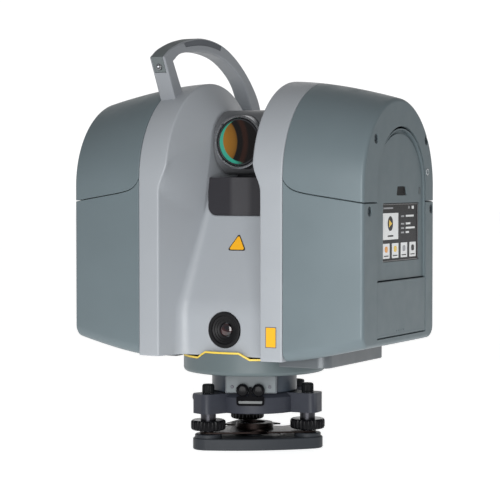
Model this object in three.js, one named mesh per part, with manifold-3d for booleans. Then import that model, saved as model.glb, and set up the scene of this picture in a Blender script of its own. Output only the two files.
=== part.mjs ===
// A terrestrial laser scanner standing on its tribrach, in millimetres.
// X points to the instrument's right, Y to its back and Z up. The origin is on the vertical
// axis, at the underside of the tribrach's base plate.

import * as THREE from 'three';
import { mergeVertices } from 'three/addons/utils/BufferGeometryUtils.js';
import Module from 'manifold-3d';

const wasm = await Module();
wasm.setup();

// ---------------------------------------------------------------- driving dimensions

const GAP = 0.3; // between pieces that rest on each other
const SEAM = 0.4; // half of a visible joint line between two covers
const ARCH_SEGMENTS = 12; // half of the sides in a tower's arch
const ROUND = 20; // sides of a plain round piece

// Alidade: two towers, one on each side of the mirror
const OUTER_X = 167.5; // outer face of a tower
const RIM_X = 83; // where the light housing meets the dark covers
const ARCH_X = 50; // inner edge of the rim above the step
const STEP_X = 9; // how much wider the valley is below the step
const STEP_LOW_Z = 271;
const STEP_HIGH_Z = 297;
const DOME_X = 33; // inner end of a tower's dome
const DOME_RADIUS = 34.5;
const ARCH_RADIUS = 100.5; // half of a tower's depth at its rim
const ARCH_CENTRE_Z = 282.5;
const HOUSING_BOTTOM_Z = 99;
const COVER_RISE = 16; // how much higher a tower's bottom is at its outer face
const COVER_CORNER = 12;
const WALL = 3;
const COVER_WALL = 3;

// Mirror
const MIRROR_Z = 320;
const DRUM_RADIUS = 34;
const DRUM_HALF = 31;
const DRUM_WALL = 3;
const SHAFT_RADIUS = 7;
const SHAFT_BORE = 7.3;
const BEAM_RADIUS = 19; // of the laser beam's way from the module to the mirror
const WINDOW = { front: -36.6, back: -17.4, radius: 28, opening: 24.8 };
const MIRROR_SWEEP = Math.hypot(WINDOW.front, WINDOW.radius) + 1; // room that the turning mirror needs
const TROUGH_TOP_Z = 283;

// Front column
const COLUMN_FRONT_Y = -67;
const COLUMN_CREASE_Z = 148;
const COLUMN_TOP_Y = -31;
const COLUMN_TOP_Z = 243;
const COLUMN_HALF = 62; // runs this far into the towers
const CAMERA_Z = 126;
const CAMERA_RADIUS = 18.5;

// Side panel with the display, on the right-hand tower
const PANEL_Y = 6; // middle of the panel
const PANEL_HALF = 62;
const PANEL_ARCH_Z = 273;
const PANEL_BOTTOM_Z = 179;
const PANEL_DEPTH = 2.7; // how far the panel is sunk
const PANEL_ARCH_SEGMENTS = 9;
const DOOR_BOTTOM_Z = 121;
const SCREEN = { y: 9.8, z: 227.5, width: 93, height: 59.5 };

// Handle
const HANDLE_X = -73.6;
const HANDLE_WIDTH = 18.4;
const HANDLE_SCREW_Z = 398;
const HANDLE_FOOT = [-52, 355]; // front corners of the handle, in Y and Z
const HANDLE_KNEE = [-78, 408];
const GRIP = { end: 46, foot: 392.5, depth: 4, half: 6.7 };

// Base, neck and tribrach
const DISC_RADIUS = 75;
const DISC_BOTTOM_Z = 79.2;
const DISC_TOP_Z = 95.2;
const TAB_TOP_Z = 101.7; // of the raised front and back of the disc
const TAB_HALF = 19.5;
const TAB_FOOT = 30.5;
const NECK_RADIUS = 45;
const NECK_BOTTOM_Z = 58.3;
const NECK_TOP_Z = 78.6;
const SOCKET_ANGLE = -67; // direction of the cable sockets, in degrees from +X
const SCREW_ANGLES = [-115, 5, 125];
const TRIPOD_THREAD_RADIUS = 7.94; // 5/8 inch
const SCREW_CIRCLE = 60.5;
const BASE_TOP_Z = 12;
const BOSS_TOP_Z = 16;
const KNOB_Z = [20, 30.5];
const KNOB_RADIUS = 18.2;
const PLATE_Z = [37.5, 58];
const BORE = 24; // radius of the tribrach's bore

const REACH = 60; // how far a cutting tool runs past what it cuts

// ---------------------------------------------------------------- geometry helpers

const radians = THREE.MathUtils.degToRad;
const polar = (radius, angle) => [radius * Math.cos(radians(angle)), radius * Math.sin(radians(angle))];

// A closed geometry as a solid. A geometry that was mirrored or turned inside out is put right.
function solid(geometry) {
  const bare = geometry.clone();
  bare.deleteAttribute('normal');
  bare.deleteAttribute('uv');
  const merged = mergeVertices(bare, 1e-4);
  const points = merged.attributes.position.array;
  const corners = Uint32Array.from(merged.index.array);
  let volume = 0;
  const [a, b, c] = [new THREE.Vector3(), new THREE.Vector3(), new THREE.Vector3()];
  for (let i = 0; i < corners.length; i += 3) {
    a.fromArray(points, 3 * corners[i]);
    b.fromArray(points, 3 * corners[i + 1]);
    c.fromArray(points, 3 * corners[i + 2]);
    volume += a.dot(b.cross(c));
  }
  if (volume < 0) corners.reverse();
  return new wasm.Manifold(new wasm.Mesh({ numProp: 3, vertProperties: points, triVerts: corners }));
}

const union = (...solids) => solids.reduce((sum, next) => sum.add(next));
const cut = (body, ...tools) => tools.reduce((rest, tool) => rest.subtract(tool), body);

function box(x, y, z) {
  const geometry = new THREE.BoxGeometry(x[1] - x[0], y[1] - y[0], z[1] - z[0]);
  geometry.translate((x[0] + x[1]) / 2, (y[0] + y[1]) / 2, (z[0] + z[1]) / 2);
  return solid(geometry);
}

// Turns a geometry drawn along +Z so that it runs along another axis.
const AXES = {
  x: new THREE.Matrix4().makeBasis(new THREE.Vector3(0, 1, 0), new THREE.Vector3(0, 0, 1),
    new THREE.Vector3(1, 0, 0)),
  y: new THREE.Matrix4().makeBasis(new THREE.Vector3(0, 0, 1), new THREE.Vector3(1, 0, 0),
    new THREE.Vector3(0, 1, 0)),
  z: new THREE.Matrix4(),
};

// A rod along an axis, from one position to another, centred on the two other coordinates.
// They are given in the order y z for x, z x for y, and x y for z.
function rod(axis, from, to, radius, centre = [0, 0], sides = ROUND, endRadius = radius) {
  const geometry = new THREE.CylinderGeometry(endRadius, radius, to - from, sides);
  geometry.rotateX(Math.PI / 2);
  geometry.translate(centre[0], centre[1], (from + to) / 2);
  geometry.applyMatrix4(AXES[axis]);
  return solid(geometry);
}

const ring = (axis, from, to, inner, outer, centre = [0, 0], sides = ROUND) =>
  cut(rod(axis, from, to, outer, centre, sides), rod(axis, from - 1, to + 1, inner, centre, sides));

// A body of revolution about a vertical axis, from a closed list of [radius, z] points.
function turned(profile, [x, y] = [0, 0], sides = ROUND) {
  const points = profile.map(([radius, z]) => new THREE.Vector2(radius, z));
  points.push(points[0].clone());
  const geometry = new THREE.LatheGeometry(points, sides);
  geometry.rotateX(Math.PI / 2);
  geometry.translate(x, y, 0);
  return solid(geometry);
}

// A flat shape with thickness. Its two coordinates are y z along x, z x along y, and x y along z.
function slab(axis, shape, from, to, curveSegments = 3) {
  const depth = to - from;
  const geometry = new THREE.ExtrudeGeometry(shape, { depth, bevelEnabled: false, curveSegments });
  geometry.translate(0, 0, from);
  geometry.applyMatrix4(AXES[axis]);
  return solid(geometry);
}

const polygon = (points) => new THREE.Shape(points.map(([u, v]) => new THREE.Vector2(u, v)));

function roundedRectangle(u, v, radius) {
  const shape = new THREE.Shape();
  shape.moveTo(u[0] + radius, v[0]);
  shape.absarc(u[1] - radius, v[0] + radius, radius, -Math.PI / 2, 0, false);
  shape.absarc(u[1] - radius, v[1] - radius, radius, 0, Math.PI / 2, false);
  shape.absarc(u[0] + radius, v[1] - radius, radius, Math.PI / 2, Math.PI, false);
  shape.absarc(u[0] + radius, v[0] + radius, radius, Math.PI, 1.5 * Math.PI, false);
  return shape;
}

// Moves a solid drawn around the origin to a direction and distance from the vertical axis.
function spun(body, angle) {
  return body.rotate([0, 0, angle]);
}

const mirrored = (body) => body.mirror([1, 0, 0]);

// ---------------------------------------------------------------- tower sections

// A tower's section across X is a tombstone: a half circle on straight sides. Towards the
// outer face it gets smaller, and inside the rim it closes in to the mirror drum as a dome.
const CROWN = { power: 1.6, radius: 0.00525, centre: 0.00442 };
const crown = (x) => Math.max(0, x - ARCH_X) ** CROWN.power;
const smooth = (t) => t * t * (3 - 2 * t);

function section(x) {
  if (x < ARCH_X) {
    const t = (x - DOME_X) / (ARCH_X - DOME_X);
    return {
      radius: DOME_RADIUS + t * (ARCH_RADIUS - DOME_RADIUS),
      centre: MIRROR_Z + t * (ARCH_CENTRE_Z - MIRROR_Z),
    };
  }
  return { radius: ARCH_RADIUS - CROWN.radius * crown(x), centre: ARCH_CENTRE_Z - CROWN.centre * crown(x) };
}

// The tombstone of unit size that every loft starts from. `corner` is the radius of its lower
// corners, across and up.
const SIDE_LEVELS = [0.35, 0.6, 0.8, 0.93];
const CORNER_STEPS = 3;

function tombstone(corner) {
  const side = [[1, -1]];
  if (corner) {
    side.length = 0;
    for (let k = 0; k <= CORNER_STEPS; k++) {
      const turn = (k / CORNER_STEPS - 1) * (Math.PI / 2);
      side.push([1 - corner[0] * (1 - Math.cos(turn)), -1 + corner[1] * (1 + Math.sin(turn))]);
    }
  }
  for (const level of SIDE_LEVELS) side.push([1, level - 1]);
  const shape = polygon(side);
  shape.absarc(0, 0, 1, 0, Math.PI, false);
  for (const [u, v] of side.toReversed()) shape.lineTo(-u, v);
  return shape;
}

// A tower, or its inside. `stations` are X positions, `inset` is how far the surface lies inside
// the outer one, `offset` moves it along X, and `bottom` gives the height of its underside.
function tower(stations, { inset = 0, offset = 0, bottom = flatBottom, corner = null, stepped = false }) {
  const steps = stations.length - 1;
  const geometry = new THREE.ExtrudeGeometry(tombstone(corner), {
    depth: steps, steps, bevelEnabled: false, curveSegments: ARCH_SEGMENTS,
  });
  const position = geometry.attributes.position;
  for (let i = 0; i < position.count; i++) {
    const x = stations[Math.round(position.getZ(i))];
    const { radius, centre } = section(x);
    const v = position.getY(i);
    const y = position.getX(i) * (radius - inset);
    const z = v > 0 ? centre + v * (radius - inset) : centre + v * (centre - bottom(x) - inset);
    const drop = THREE.MathUtils.clamp((STEP_HIGH_Z - z) / (STEP_HIGH_Z - STEP_LOW_Z), 0, 1);
    const fade = THREE.MathUtils.clamp((RIM_X - x) / (RIM_X - ARCH_X), 0, 1);
    const shift = stepped ? STEP_X * smooth(drop) * fade : 0;
    position.setXYZ(i, x + shift + offset, y, z);
  }
  return solid(geometry);
}

function flatBottom() {
  return HOUSING_BOTTOM_Z;
}

const COVER_CURVE = 1.3; // exponent of the rise from the rim to the outer face

function risingBottom(x) {
  const share = Math.max(0, x - RIM_X) / (OUTER_X - RIM_X);
  return HOUSING_BOTTOM_Z + COVER_RISE * share ** COVER_CURVE;
}

const HOUSING_STATIONS = [DOME_X, ARCH_X, 66, RIM_X];
const COVER_STATIONS = [RIM_X + SEAM, 112, 141, OUTER_X];
const COVER_HALF_DEPTH = 95; // near the outer face
const COVER_DROP = 178; // from the arch's centre to the bottom
const COVER_CORNERS = [COVER_CORNER / COVER_HALF_DEPTH, COVER_CORNER / COVER_DROP];

// ---------------------------------------------------------------- main housing

// The light housing is one casting: both rims with their domes, and the columns between them.
function housingOutside(grow = 0) {
  const stations = grow > 0 ? [...HOUSING_STATIONS, RIM_X + 2 * grow] : HOUSING_STATIONS;
  const right = tower(stations, { inset: -grow, offset: -grow, stepped: true });
  return union(right, mirrored(right));
}

function housingInside() {
  const bottom = () => HOUSING_BOTTOM_Z - 2 * WALL;
  const right = tower(HOUSING_STATIONS, { inset: WALL, offset: WALL, bottom, stepped: true });
  return union(right, mirrored(right));
}

function column(half, inset) {
  const low = HOUSING_BOTTOM_Z - 2 * inset;
  const top = COLUMN_TOP_Z - 2 * inset;
  return slab('x', polygon([
    [COLUMN_FRONT_Y + inset, low],
    [-COLUMN_FRONT_Y - inset, low],
    [-COLUMN_FRONT_Y - inset, COLUMN_CREASE_Z],
    [-COLUMN_TOP_Y - inset, top],
    [COLUMN_TOP_Y + inset, top],
    [COLUMN_FRONT_Y + inset, COLUMN_CREASE_Z],
  ]), -half, half);
}

const BEARING_X = [-58, -40];
const BEARING_RADIUS = 18;

function mainHousing() {
  const shell = union(housingOutside(), column(COLUMN_HALF, 0));
  const hollow = union(housingInside(), column(COLUMN_HALF - 2 * WALL, WALL));
  const bossRadius = BEARING_RADIUS + 4;
  const boss = rod('x', BEARING_X[0] - 2, -DOME_X - 1, bossRadius, [0, MIRROR_Z]);
  const seat = rod('x', BEARING_X[0] - 5, BEARING_X[1] + GAP, BEARING_RADIUS + GAP, [0, MIRROR_Z]);
  const cameraSpan = [COLUMN_FRONT_Y - WALL, COLUMN_FRONT_Y + 2 * WALL];
  const cameraHole = rod('y', ...cameraSpan, CAMERA_RADIUS + GAP, [CAMERA_Z, 0], 28);
  const shaftHole = rod('x', -ARCH_X, 0, SHAFT_RADIUS + 3, [0, MIRROR_Z], 24);
  const beamHole = rod('x', 0, ARCH_X, BEAM_RADIUS + 0.5, [0, MIRROR_Z], 24);
  return cut(union(cut(shell, hollow), boss), seat, cameraHole, shaftHole, beamHole);
}

// ---------------------------------------------------------------- covers

// The joint between upper and lower cover falls from the rim to the outer face, steeply at first.
const SEAM_OUTER_Z = 258;
const SEAM_SLOPE = 0.15;
const SEAM_HOOK = { height: 11.5, length: 6 };
const SEAM_STATIONS = [-10, 0, 3, 6, 10, 16, 30, 95]; // distances from the rim

function aboveSeam(offset) {
  const hook = (run) => SEAM_HOOK.height * Math.exp(-Math.max(0, run) / SEAM_HOOK.length);
  const at = (run) => SEAM_OUTER_Z + SEAM_SLOPE * (OUTER_X - RIM_X - run) + hook(run) + offset;
  const line = SEAM_STATIONS.map((run) => [at(run), RIM_X + run]);
  const top = ARCH_CENTRE_Z + 2 * ARCH_RADIUS;
  const above = polygon([...line, [top, line.at(-1)[1]], [top, line[0][1]]]);
  return slab('y', above, -ARCH_RADIUS - 10, ARCH_RADIUS + 10);
}

function coverShell() {
  const shell = tower(COVER_STATIONS, { bottom: risingBottom, corner: COVER_CORNERS });
  const inner = COVER_STATIONS.slice();
  inner[0] = RIM_X - 1;
  inner[inner.length - 1] = OUTER_X - COVER_WALL;
  return cut(shell, tower(inner, { inset: COVER_WALL, bottom: risingBottom, corner: COVER_CORNERS }));
}

// The opening in the right-hand covers that takes the side panel and the battery door.
function panelShape(grow, bottom) {
  const half = PANEL_HALF + grow;
  const shape = new THREE.Shape();
  shape.moveTo(PANEL_Y - half, bottom - grow);
  shape.lineTo(PANEL_Y + half, bottom - grow);
  shape.absarc(PANEL_Y, PANEL_ARCH_Z, half, 0, Math.PI, false);
  return shape;
}

const COVER_SCREWS = [[-59.5, 321.5], [69, 322], [-75, 249.7], [82.5, 250]];
const SCREW_RECESS = { radius: 5, depth: 2 };
const SCREW_HOLE = { radius: 2.2, depth: 8 };
const BUTTON = { y: 71.8, z: 288.8, radius: 3.6, stem: 1.6, flange: 5.2, out: 0.4 };
const BUTTON_DEPTHS = [4, 8, 9.5]; // of the cap's back and of the flange's two faces

function covers(side) {
  let shell = coverShell();
  for (const centre of COVER_SCREWS) {
    shell = cut(shell, rod('x', OUTER_X - SCREW_RECESS.depth, OUTER_X + 2, SCREW_RECESS.radius, centre, 16));
    shell = cut(shell, rod('x', OUTER_X - SCREW_HOLE.depth, OUTER_X + 2, SCREW_HOLE.radius, centre, 12));
  }
  if (side > 0) {
    const opening = panelShape(GAP, DOOR_BOTTOM_Z);
    const inside = OUTER_X - COVER_CORNER;
    shell = cut(shell, slab('x', opening, inside, OUTER_X + 2, PANEL_ARCH_SEGMENTS));
    shell = cut(shell, rod('x', inside, OUTER_X + 2, BUTTON.radius + 0.25, [BUTTON.y, BUTTON.z], 16));
    const pinEnds = [DOOR.y[0] - PIN.overhang - 0.4, DOOR.y[1] + PIN.overhang + 0.4];
    shell = cut(shell, rod('y', ...pinEnds, PIN.radius + GAP, [DOOR_PIVOT.z, DOOR_PIVOT.x], 12));
  }
  const upper = shell.intersect(aboveSeam(SEAM));
  const lower = cut(shell, aboveSeam(-SEAM));
  return side > 0 ? [upper, lower] : [mirrored(upper), mirrored(lower)];
}

// ---------------------------------------------------------------- side panel, display and door

const PANEL_X = OUTER_X - PANEL_DEPTH;

function rectangle(centre, width, height, grow = 0) {
  return polygon([
    [centre.y - width / 2 - grow, centre.z - height / 2 - grow],
    [centre.y + width / 2 + grow, centre.z - height / 2 - grow],
    [centre.y + width / 2 + grow, centre.z + height / 2 + grow],
    [centre.y - width / 2 - grow, centre.z + height / 2 + grow],
  ]);
}

// The latch is a trapezoid, wider at its foot.
const LATCH = { foot: [-2.6, 23.2], top: [0, 20.6], z: [265, 273.7] };

const latchShape = (grow) => polygon([
  [LATCH.foot[0] - grow, LATCH.z[0] - grow], [LATCH.foot[1] + grow, LATCH.z[0] - grow],
  [LATCH.top[1] + grow, LATCH.z[1] + grow], [LATCH.top[0] - grow, LATCH.z[1] + grow],
]);
const LIGHT = { y: 57.2, z: 269.3, width: 4.8, height: 6.8 };
const PANEL_THICKNESS = 3;
const PANEL_RIM = 1.6; // thickness of the wall around the sunk panel
const CUT = PANEL_THICKNESS + 2;

function sidePanel() {
  const outline = panelShape(0, PANEL_BOTTOM_Z + SEAM);
  const inside = panelShape(-PANEL_RIM, PANEL_BOTTOM_Z + 1);
  const back = PANEL_X - PANEL_THICKNESS;
  const front = slab('x', outline, back, PANEL_X, PANEL_ARCH_SEGMENTS);
  const collar = slab('x', outline, back, OUTER_X - 0.6, PANEL_ARCH_SEGMENTS);
  const bowl = slab('x', inside, back - 1, OUTER_X + 1, PANEL_ARCH_SEGMENTS);
  return cut(
    union(front, cut(collar, bowl)),
    slab('x', rectangle(SCREEN, SCREEN.width, SCREEN.height), PANEL_X - CUT, PANEL_X + 2),
    slab('x', latchShape(0.25), PANEL_X - CUT, PANEL_X + 2),
    slab('x', rectangle(LIGHT, LIGHT.width, LIGHT.height, GAP), PANEL_X - CUT, PANEL_X + 2),
  );
}

// Depths below the panel's front.
const BEZEL = { front: 1.2, seat: 3.5, back: 8, border: 1.5, ledge: 6 };
const SCREEN_DEPTH = [1.5, 3.2];
const LATCH_DEPTHS = [1, 4, 6];

function displayBezel() {
  const opening = (grow) => rectangle(SCREEN, SCREEN.width, SCREEN.height, grow);
  return cut(
    slab('x', opening(-GAP), PANEL_X - BEZEL.back, PANEL_X - BEZEL.front),
    slab('x', opening(-BEZEL.border), PANEL_X - BEZEL.seat, PANEL_X),
    slab('x', opening(-BEZEL.ledge), PANEL_X - BEZEL.back - 1, PANEL_X),
  );
}

function displayScreen() {
  const outline = rectangle(SCREEN, SCREEN.width, SCREEN.height, -BEZEL.border - GAP);
  return slab('x', outline, PANEL_X - SCREEN_DEPTH[1], PANEL_X - SCREEN_DEPTH[0]);
}

function panelLatch() {
  const [front, flange, back] = LATCH_DEPTHS;
  return union(
    slab('x', latchShape(0), PANEL_X - flange, PANEL_X - front),
    slab('x', latchShape(2), PANEL_X - back, PANEL_X - flange),
  );
}

const statusLight = () =>
  slab('x', rectangle(LIGHT, LIGHT.width, LIGHT.height), PANEL_X - 2 * PANEL_THICKNESS, PANEL_X + GAP);

function powerButton() {
  const centre = [BUTTON.y, BUTTON.z];
  const [cap, flange, back] = BUTTON_DEPTHS;
  return union(
    rod('x', OUTER_X - cap, OUTER_X + BUTTON.out, BUTTON.radius, centre, 20),
    rod('x', OUTER_X - flange, OUTER_X - cap + 0.5, BUTTON.stem, centre, 12),
    rod('x', OUTER_X - back, OUTER_X - flange, BUTTON.flange, centre, 20),
  );
}

// The battery door hangs on a rod along its lower edge.
const DOOR = {
  y: [PANEL_Y - PANEL_HALF, PANEL_Y + PANEL_HALF],
  z: [DOOR_BOTTOM_Z + SEAM, PANEL_BOTTOM_Z - SEAM],
};
const DOOR_THICKNESS = [0.4, 3]; // depth of its two faces below the outer face
const DOOR_PIVOT = { x: OUTER_X - 3, z: DOOR_BOTTOM_Z + 3.4 };
const DOOR_RELIEF = 1.4; // room below the door for its turn
const BARREL_RADIUS = 2.6;
const PIN = { radius: 1.2, overhang: 4 };
const BATTERY = { x: [92, 156], y: [-46, 56], z: [128, 172], corner: 4 };

function batteryDoor() {
  const pivot = [DOOR_PIVOT.z, DOOR_PIVOT.x];
  const [y0, y1] = [DOOR.y[0] + GAP, DOOR.y[1] - GAP];
  const [front, back] = DOOR_THICKNESS;
  const plate = slab('x', roundedRectangle([y0, y1], DOOR.z, 1), OUTER_X - back, OUTER_X - front);
  const barrel = rod('y', y0, y1, BARREL_RADIUS, pivot, 16);
  const bore = rod('y', y0 - 5, y1 + 5, PIN.radius + 0.1, pivot, 16);
  const below = [DOOR_BOTTOM_Z - 5, DOOR_BOTTOM_Z + DOOR_RELIEF];
  const relief = box([OUTER_X - COVER_CORNER, OUTER_X + 2], DOOR.y, below);
  return cut(union(plate, barrel), bore, relief);
}

const doorHingePin = () =>
  rod('y', DOOR.y[0] - PIN.overhang, DOOR.y[1] + PIN.overhang, PIN.radius, [DOOR_PIVOT.z, DOOR_PIVOT.x], 12);

const batteryPack = () =>
  slab('x', roundedRectangle(BATTERY.y, BATTERY.z, BATTERY.corner), ...BATTERY.x);

// ---------------------------------------------------------------- column pieces

// Radii, and depths behind the column's front. The bezel stands out by 1.2 mm.
const BEZEL_DEPTH = [-1.2, 14];
const BEZEL_CONE = { radius: 14.5, end: 8.6, depth: 5 };
const LENS = { radius: 7, throat: 7.3, depth: [2.2, 12] };
const CAMERA_BLOCK = { half: 15, corner: 3, depth: [14.3, 32] };
const CAMERA_BARREL = { radius: 6.8, depth: [12.3, 15] };

// A rod around the camera's axis, between two depths.
const atCamera = (depth, radius, sides, endRadius) =>
  rod('y', COLUMN_FRONT_Y + depth[0], COLUMN_FRONT_Y + depth[1], radius, [CAMERA_Z, 0], sides, endRadius);

const cameraBezel = () => cut(
  atCamera(BEZEL_DEPTH, CAMERA_RADIUS, 28),
  atCamera([-3, BEZEL_CONE.depth], BEZEL_CONE.radius, 28, BEZEL_CONE.end),
  atCamera([-3, BEZEL_DEPTH[1] + 1], LENS.throat, 24),
);

const cameraLens = () => atCamera(LENS.depth, LENS.radius, 24);

function cameraBody() {
  const { half, corner, depth } = CAMERA_BLOCK;
  const outline = roundedRectangle([CAMERA_Z - half, CAMERA_Z + half], [-half, half], corner);
  const block = slab('y', outline, COLUMN_FRONT_Y + depth[0], COLUMN_FRONT_Y + depth[1]);
  return union(block, atCamera(CAMERA_BARREL.depth, CAMERA_BARREL.radius, 24));
}

// The dark glossy trough under the mirror, between the two domes, hollowed by the mirror's turn.
function mirrorTrough() {
  const depth = [COLUMN_TOP_Y + 1, -COLUMN_TOP_Y - 1];
  const block = box([-REACH, REACH], depth, [COLUMN_TOP_Z + GAP, TROUGH_TOP_Z]);
  const swept = rod('x', -REACH - 1, REACH + 1, MIRROR_SWEEP, [0, MIRROR_Z], 48);
  return cut(block, housingOutside(GAP), swept);
}

// ---------------------------------------------------------------- handle

// The handle's side view, in Y and Z: a sharp knee at the front, a long arch to the back.
function handleOutline() {
  const shape = new THREE.Shape();
  shape.moveTo(...HANDLE_FOOT);
  shape.lineTo(...HANDLE_KNEE);
  shape.splineThru([
    new THREE.Vector2(-61, 418), new THREE.Vector2(-28, 428), new THREE.Vector2(10, 432),
    new THREE.Vector2(55, 425), new THREE.Vector2(98, 403), new THREE.Vector2(132, 370.8),
    new THREE.Vector2(141.2, 341), new THREE.Vector2(133, 308), new THREE.Vector2(96, 272),
  ]);
  shape.lineTo(86, 296);
  shape.splineThru([
    new THREE.Vector2(112, 318), new THREE.Vector2(120, 345), new THREE.Vector2(106, 376),
    new THREE.Vector2(87, 395), new THREE.Vector2(52.7, 411), new THREE.Vector2(10, 417.2),
    new THREE.Vector2(-39.3, 413.8), new THREE.Vector2(-58.5, 404.5),
  ]);
  shape.lineTo(-28, 355);
  return shape;
}

// Y of the handle's front at a height below the knee.
const handleFront = (z) => THREE.MathUtils.mapLinear(
  z, HANDLE_FOOT[1], HANDLE_KNEE[1], HANDLE_FOOT[0], HANDLE_KNEE[0]);

// The grip's outline: a band that follows the knee and the top of the handle.
function gripOutline(depth, margin) {
  const end = GRIP.end + margin;
  const foot = GRIP.foot - margin;
  const front = handleFront(GRIP.foot);
  const shape = new THREE.Shape();
  shape.moveTo(front + margin / 2, foot);
  shape.lineTo(-79, 409);
  shape.lineTo(-61, 421);
  shape.lineTo(-28, 431);
  shape.lineTo(10, 435);
  shape.lineTo(end, 431);
  shape.lineTo(end, 427.5 - depth);
  shape.splineThru([
    new THREE.Vector2(10, 431.8 - depth), new THREE.Vector2(-28, 427.8 - depth),
    new THREE.Vector2(-60 + depth / 2, 417.2 - depth), new THREE.Vector2(-76 + depth, 408.5 - depth / 2),
  ]);
  shape.lineTo(front + depth, foot);
  return shape;
}

const handleWhole = () =>
  slab('x', handleOutline(), HANDLE_X - HANDLE_WIDTH / 2, HANDLE_X + HANDLE_WIDTH / 2, 4);

// A rod around the axis of the grip's screw.
const atHandleScrew = (from, to, radius, sides) =>
  rod('y', from, to, radius, [HANDLE_SCREW_Z, HANDLE_X], sides);
const HANDLE_SCREW = { head: [-74.2, -71], shank: [-71.5, -58], headRadius: 3, shankRadius: 1.6 };
const HANDLE_FRONT = [-90, -50]; // Y range that holds the front of the handle

function handleFrame() {
  const half = GRIP.half + GAP;
  const groove = slab('x', gripOutline(GRIP.depth + GAP, 0.4), HANDLE_X - half, HANDLE_X + half, 4);
  const screwHole = atHandleScrew(...HANDLE_FRONT, HANDLE_SCREW.shankRadius + GAP, 12);
  return cut(handleWhole(), groove, screwHole, housingOutside(GAP));
}

function handleGrip() {
  const band = slab('x', gripOutline(GRIP.depth, 0), HANDLE_X - GRIP.half, HANDLE_X + GRIP.half, 4);
  const headHole = atHandleScrew(...HANDLE_FRONT, HANDLE_SCREW.headRadius + GAP, 16);
  return cut(band.intersect(handleWhole()), headHole);
}

const handleScrew = () => union(
  atHandleScrew(...HANDLE_SCREW.head, HANDLE_SCREW.headRadius, 16),
  atHandleScrew(...HANDLE_SCREW.shank, HANDLE_SCREW.shankRadius, 12),
);

// ---------------------------------------------------------------- mirror

function mirrorDrum() {
  const inner = DRUM_HALF - DRUM_WALL;
  const outside = rod('x', -DRUM_HALF, DRUM_HALF, DRUM_RADIUS, [0, MIRROR_Z], 32);
  const inside = rod('x', -inner, inner, DRUM_RADIUS - DRUM_WALL, [0, MIRROR_Z], 24);
  const window = rod('y', -REACH, 0, WINDOW.radius + GAP, [MIRROR_Z, 0], 28);
  const beam = rod('x', 0, REACH, BEAM_RADIUS, [0, MIRROR_Z]);
  const shaftSeat = rod('x', -REACH, 0, SHAFT_BORE, [0, MIRROR_Z], 24);
  return cut(outside, inside, window, beam, shaftSeat);
}

// The window's ring stands through the drum's side.
const windowRing = () =>
  ring('y', WINDOW.front, WINDOW.back, WINDOW.opening, WINDOW.radius, [MIRROR_Z, 0], 28);
const windowGlass = () =>
  rod('y', WINDOW.front + 2, WINDOW.front + 4.6, WINDOW.opening - GAP, [MIRROR_Z, 0], 28);

// The mirror stands at 45 degrees between the beam, along X, and the window.
const SCAN_MIRROR = { radius: 25, thickness: 4, narrowing: 0.8 };

function scanMirror() {
  const { radius, thickness, narrowing } = SCAN_MIRROR;
  const geometry = new THREE.CylinderGeometry(radius, radius, thickness, 28);
  geometry.scale(1, 1, narrowing);
  geometry.rotateZ(Math.PI / 4);
  geometry.translate(0, 0, MIRROR_Z);
  return solid(geometry);
}

const SHAFT_FRONT = -18.3; // where the shaft ends in the mirror's mount
const ENCODER_X = -111;

// The wedge behind the mirror carries it on the shaft.
function mirrorMount() {
  const core = rod('x', -DRUM_HALF + DRUM_WALL + GAP, 20, 17, [0, MIRROR_Z]);
  const front = new THREE.BoxGeometry(2 * REACH, REACH, 2 * REACH);
  front.translate(0, REACH / 2 - SCAN_MIRROR.thickness / 2 - GAP, 0);
  front.rotateZ(-3 * Math.PI / 4);
  front.translate(0, 0, MIRROR_Z);
  return cut(core, solid(front), rod('x', -REACH, SHAFT_FRONT + GAP, SHAFT_BORE, [0, MIRROR_Z], 24));
}

const mirrorShaft = () => rod('x', ENCODER_X - 1, SHAFT_FRONT, SHAFT_RADIUS, [0, MIRROR_Z], 24);
const encoderDisc = () => ring('x', ENCODER_X, ENCODER_X + 1.5, SHAFT_BORE, 24, [0, MIRROR_Z]);
const mirrorBearing = () => ring('x', ...BEARING_X, SHAFT_BORE, BEARING_RADIUS, [0, MIRROR_Z]);
const mirrorMotor = () => ring('x', -104, BEARING_X[0] - 2.3, SHAFT_BORE + 0.1, 28, [0, MIRROR_Z]);

// The laser module's barrel, its electronics block and the lens in front of it.
const LASER = { barrel: [34.5, 120], radius: 19, block: [66, 126], half: 34, corner: 6 };
const LASER_LENS = { x: [31.6, 34.2], radius: 17 };

function laserModule() {
  const { barrel, radius, block, half, corner } = LASER;
  const outline = roundedRectangle([-half, half], [MIRROR_Z - half, MIRROR_Z + half], corner);
  return union(rod('x', ...barrel, radius, [0, MIRROR_Z], 28), slab('x', outline, ...block));
}

const laserLens = () => rod('x', ...LASER_LENS.x, LASER_LENS.radius, [0, MIRROR_Z], 24);

const BOARD_HALF = 62;
const BOARD_THICKNESS = 1.8;
const MAIN_BOARD = { x: 148, z: [184, 268] };
const DRIVE_BOARD = { x: -150, z: [180, 290] };
const circuitBoard = (x, z) =>
  slab('x', roundedRectangle([-BOARD_HALF, BOARD_HALF], z, 3), x, x + BOARD_THICKNESS);

// ---------------------------------------------------------------- base of the alidade

const DISC_SIDES = 40;
const DISC_WALL = 3;
const DISC_EDGE = [2, 2.5]; // chamfer of the disc's lower edge, inwards and up
const DISC_FLOOR = 5;
const SPINDLE_RADIUS = 18;
const SPINDLE_BORE = 18.4;
const TRIM = { depth: 2.1, height: 2.1, out: 0.3 };

// Everything above a line that steps up over the middle of the disc's front and back.
function aboveStep(low, high) {
  const [side, top] = [DISC_RADIUS + 15, TAB_TOP_Z + 30];
  return slab('y', polygon([
    [low, -side], [low, -TAB_FOOT], [high, -TAB_HALF], [high, TAB_HALF], [low, TAB_FOOT], [low, side],
    [top, side], [top, -side],
  ]), -side, side);
}

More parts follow.
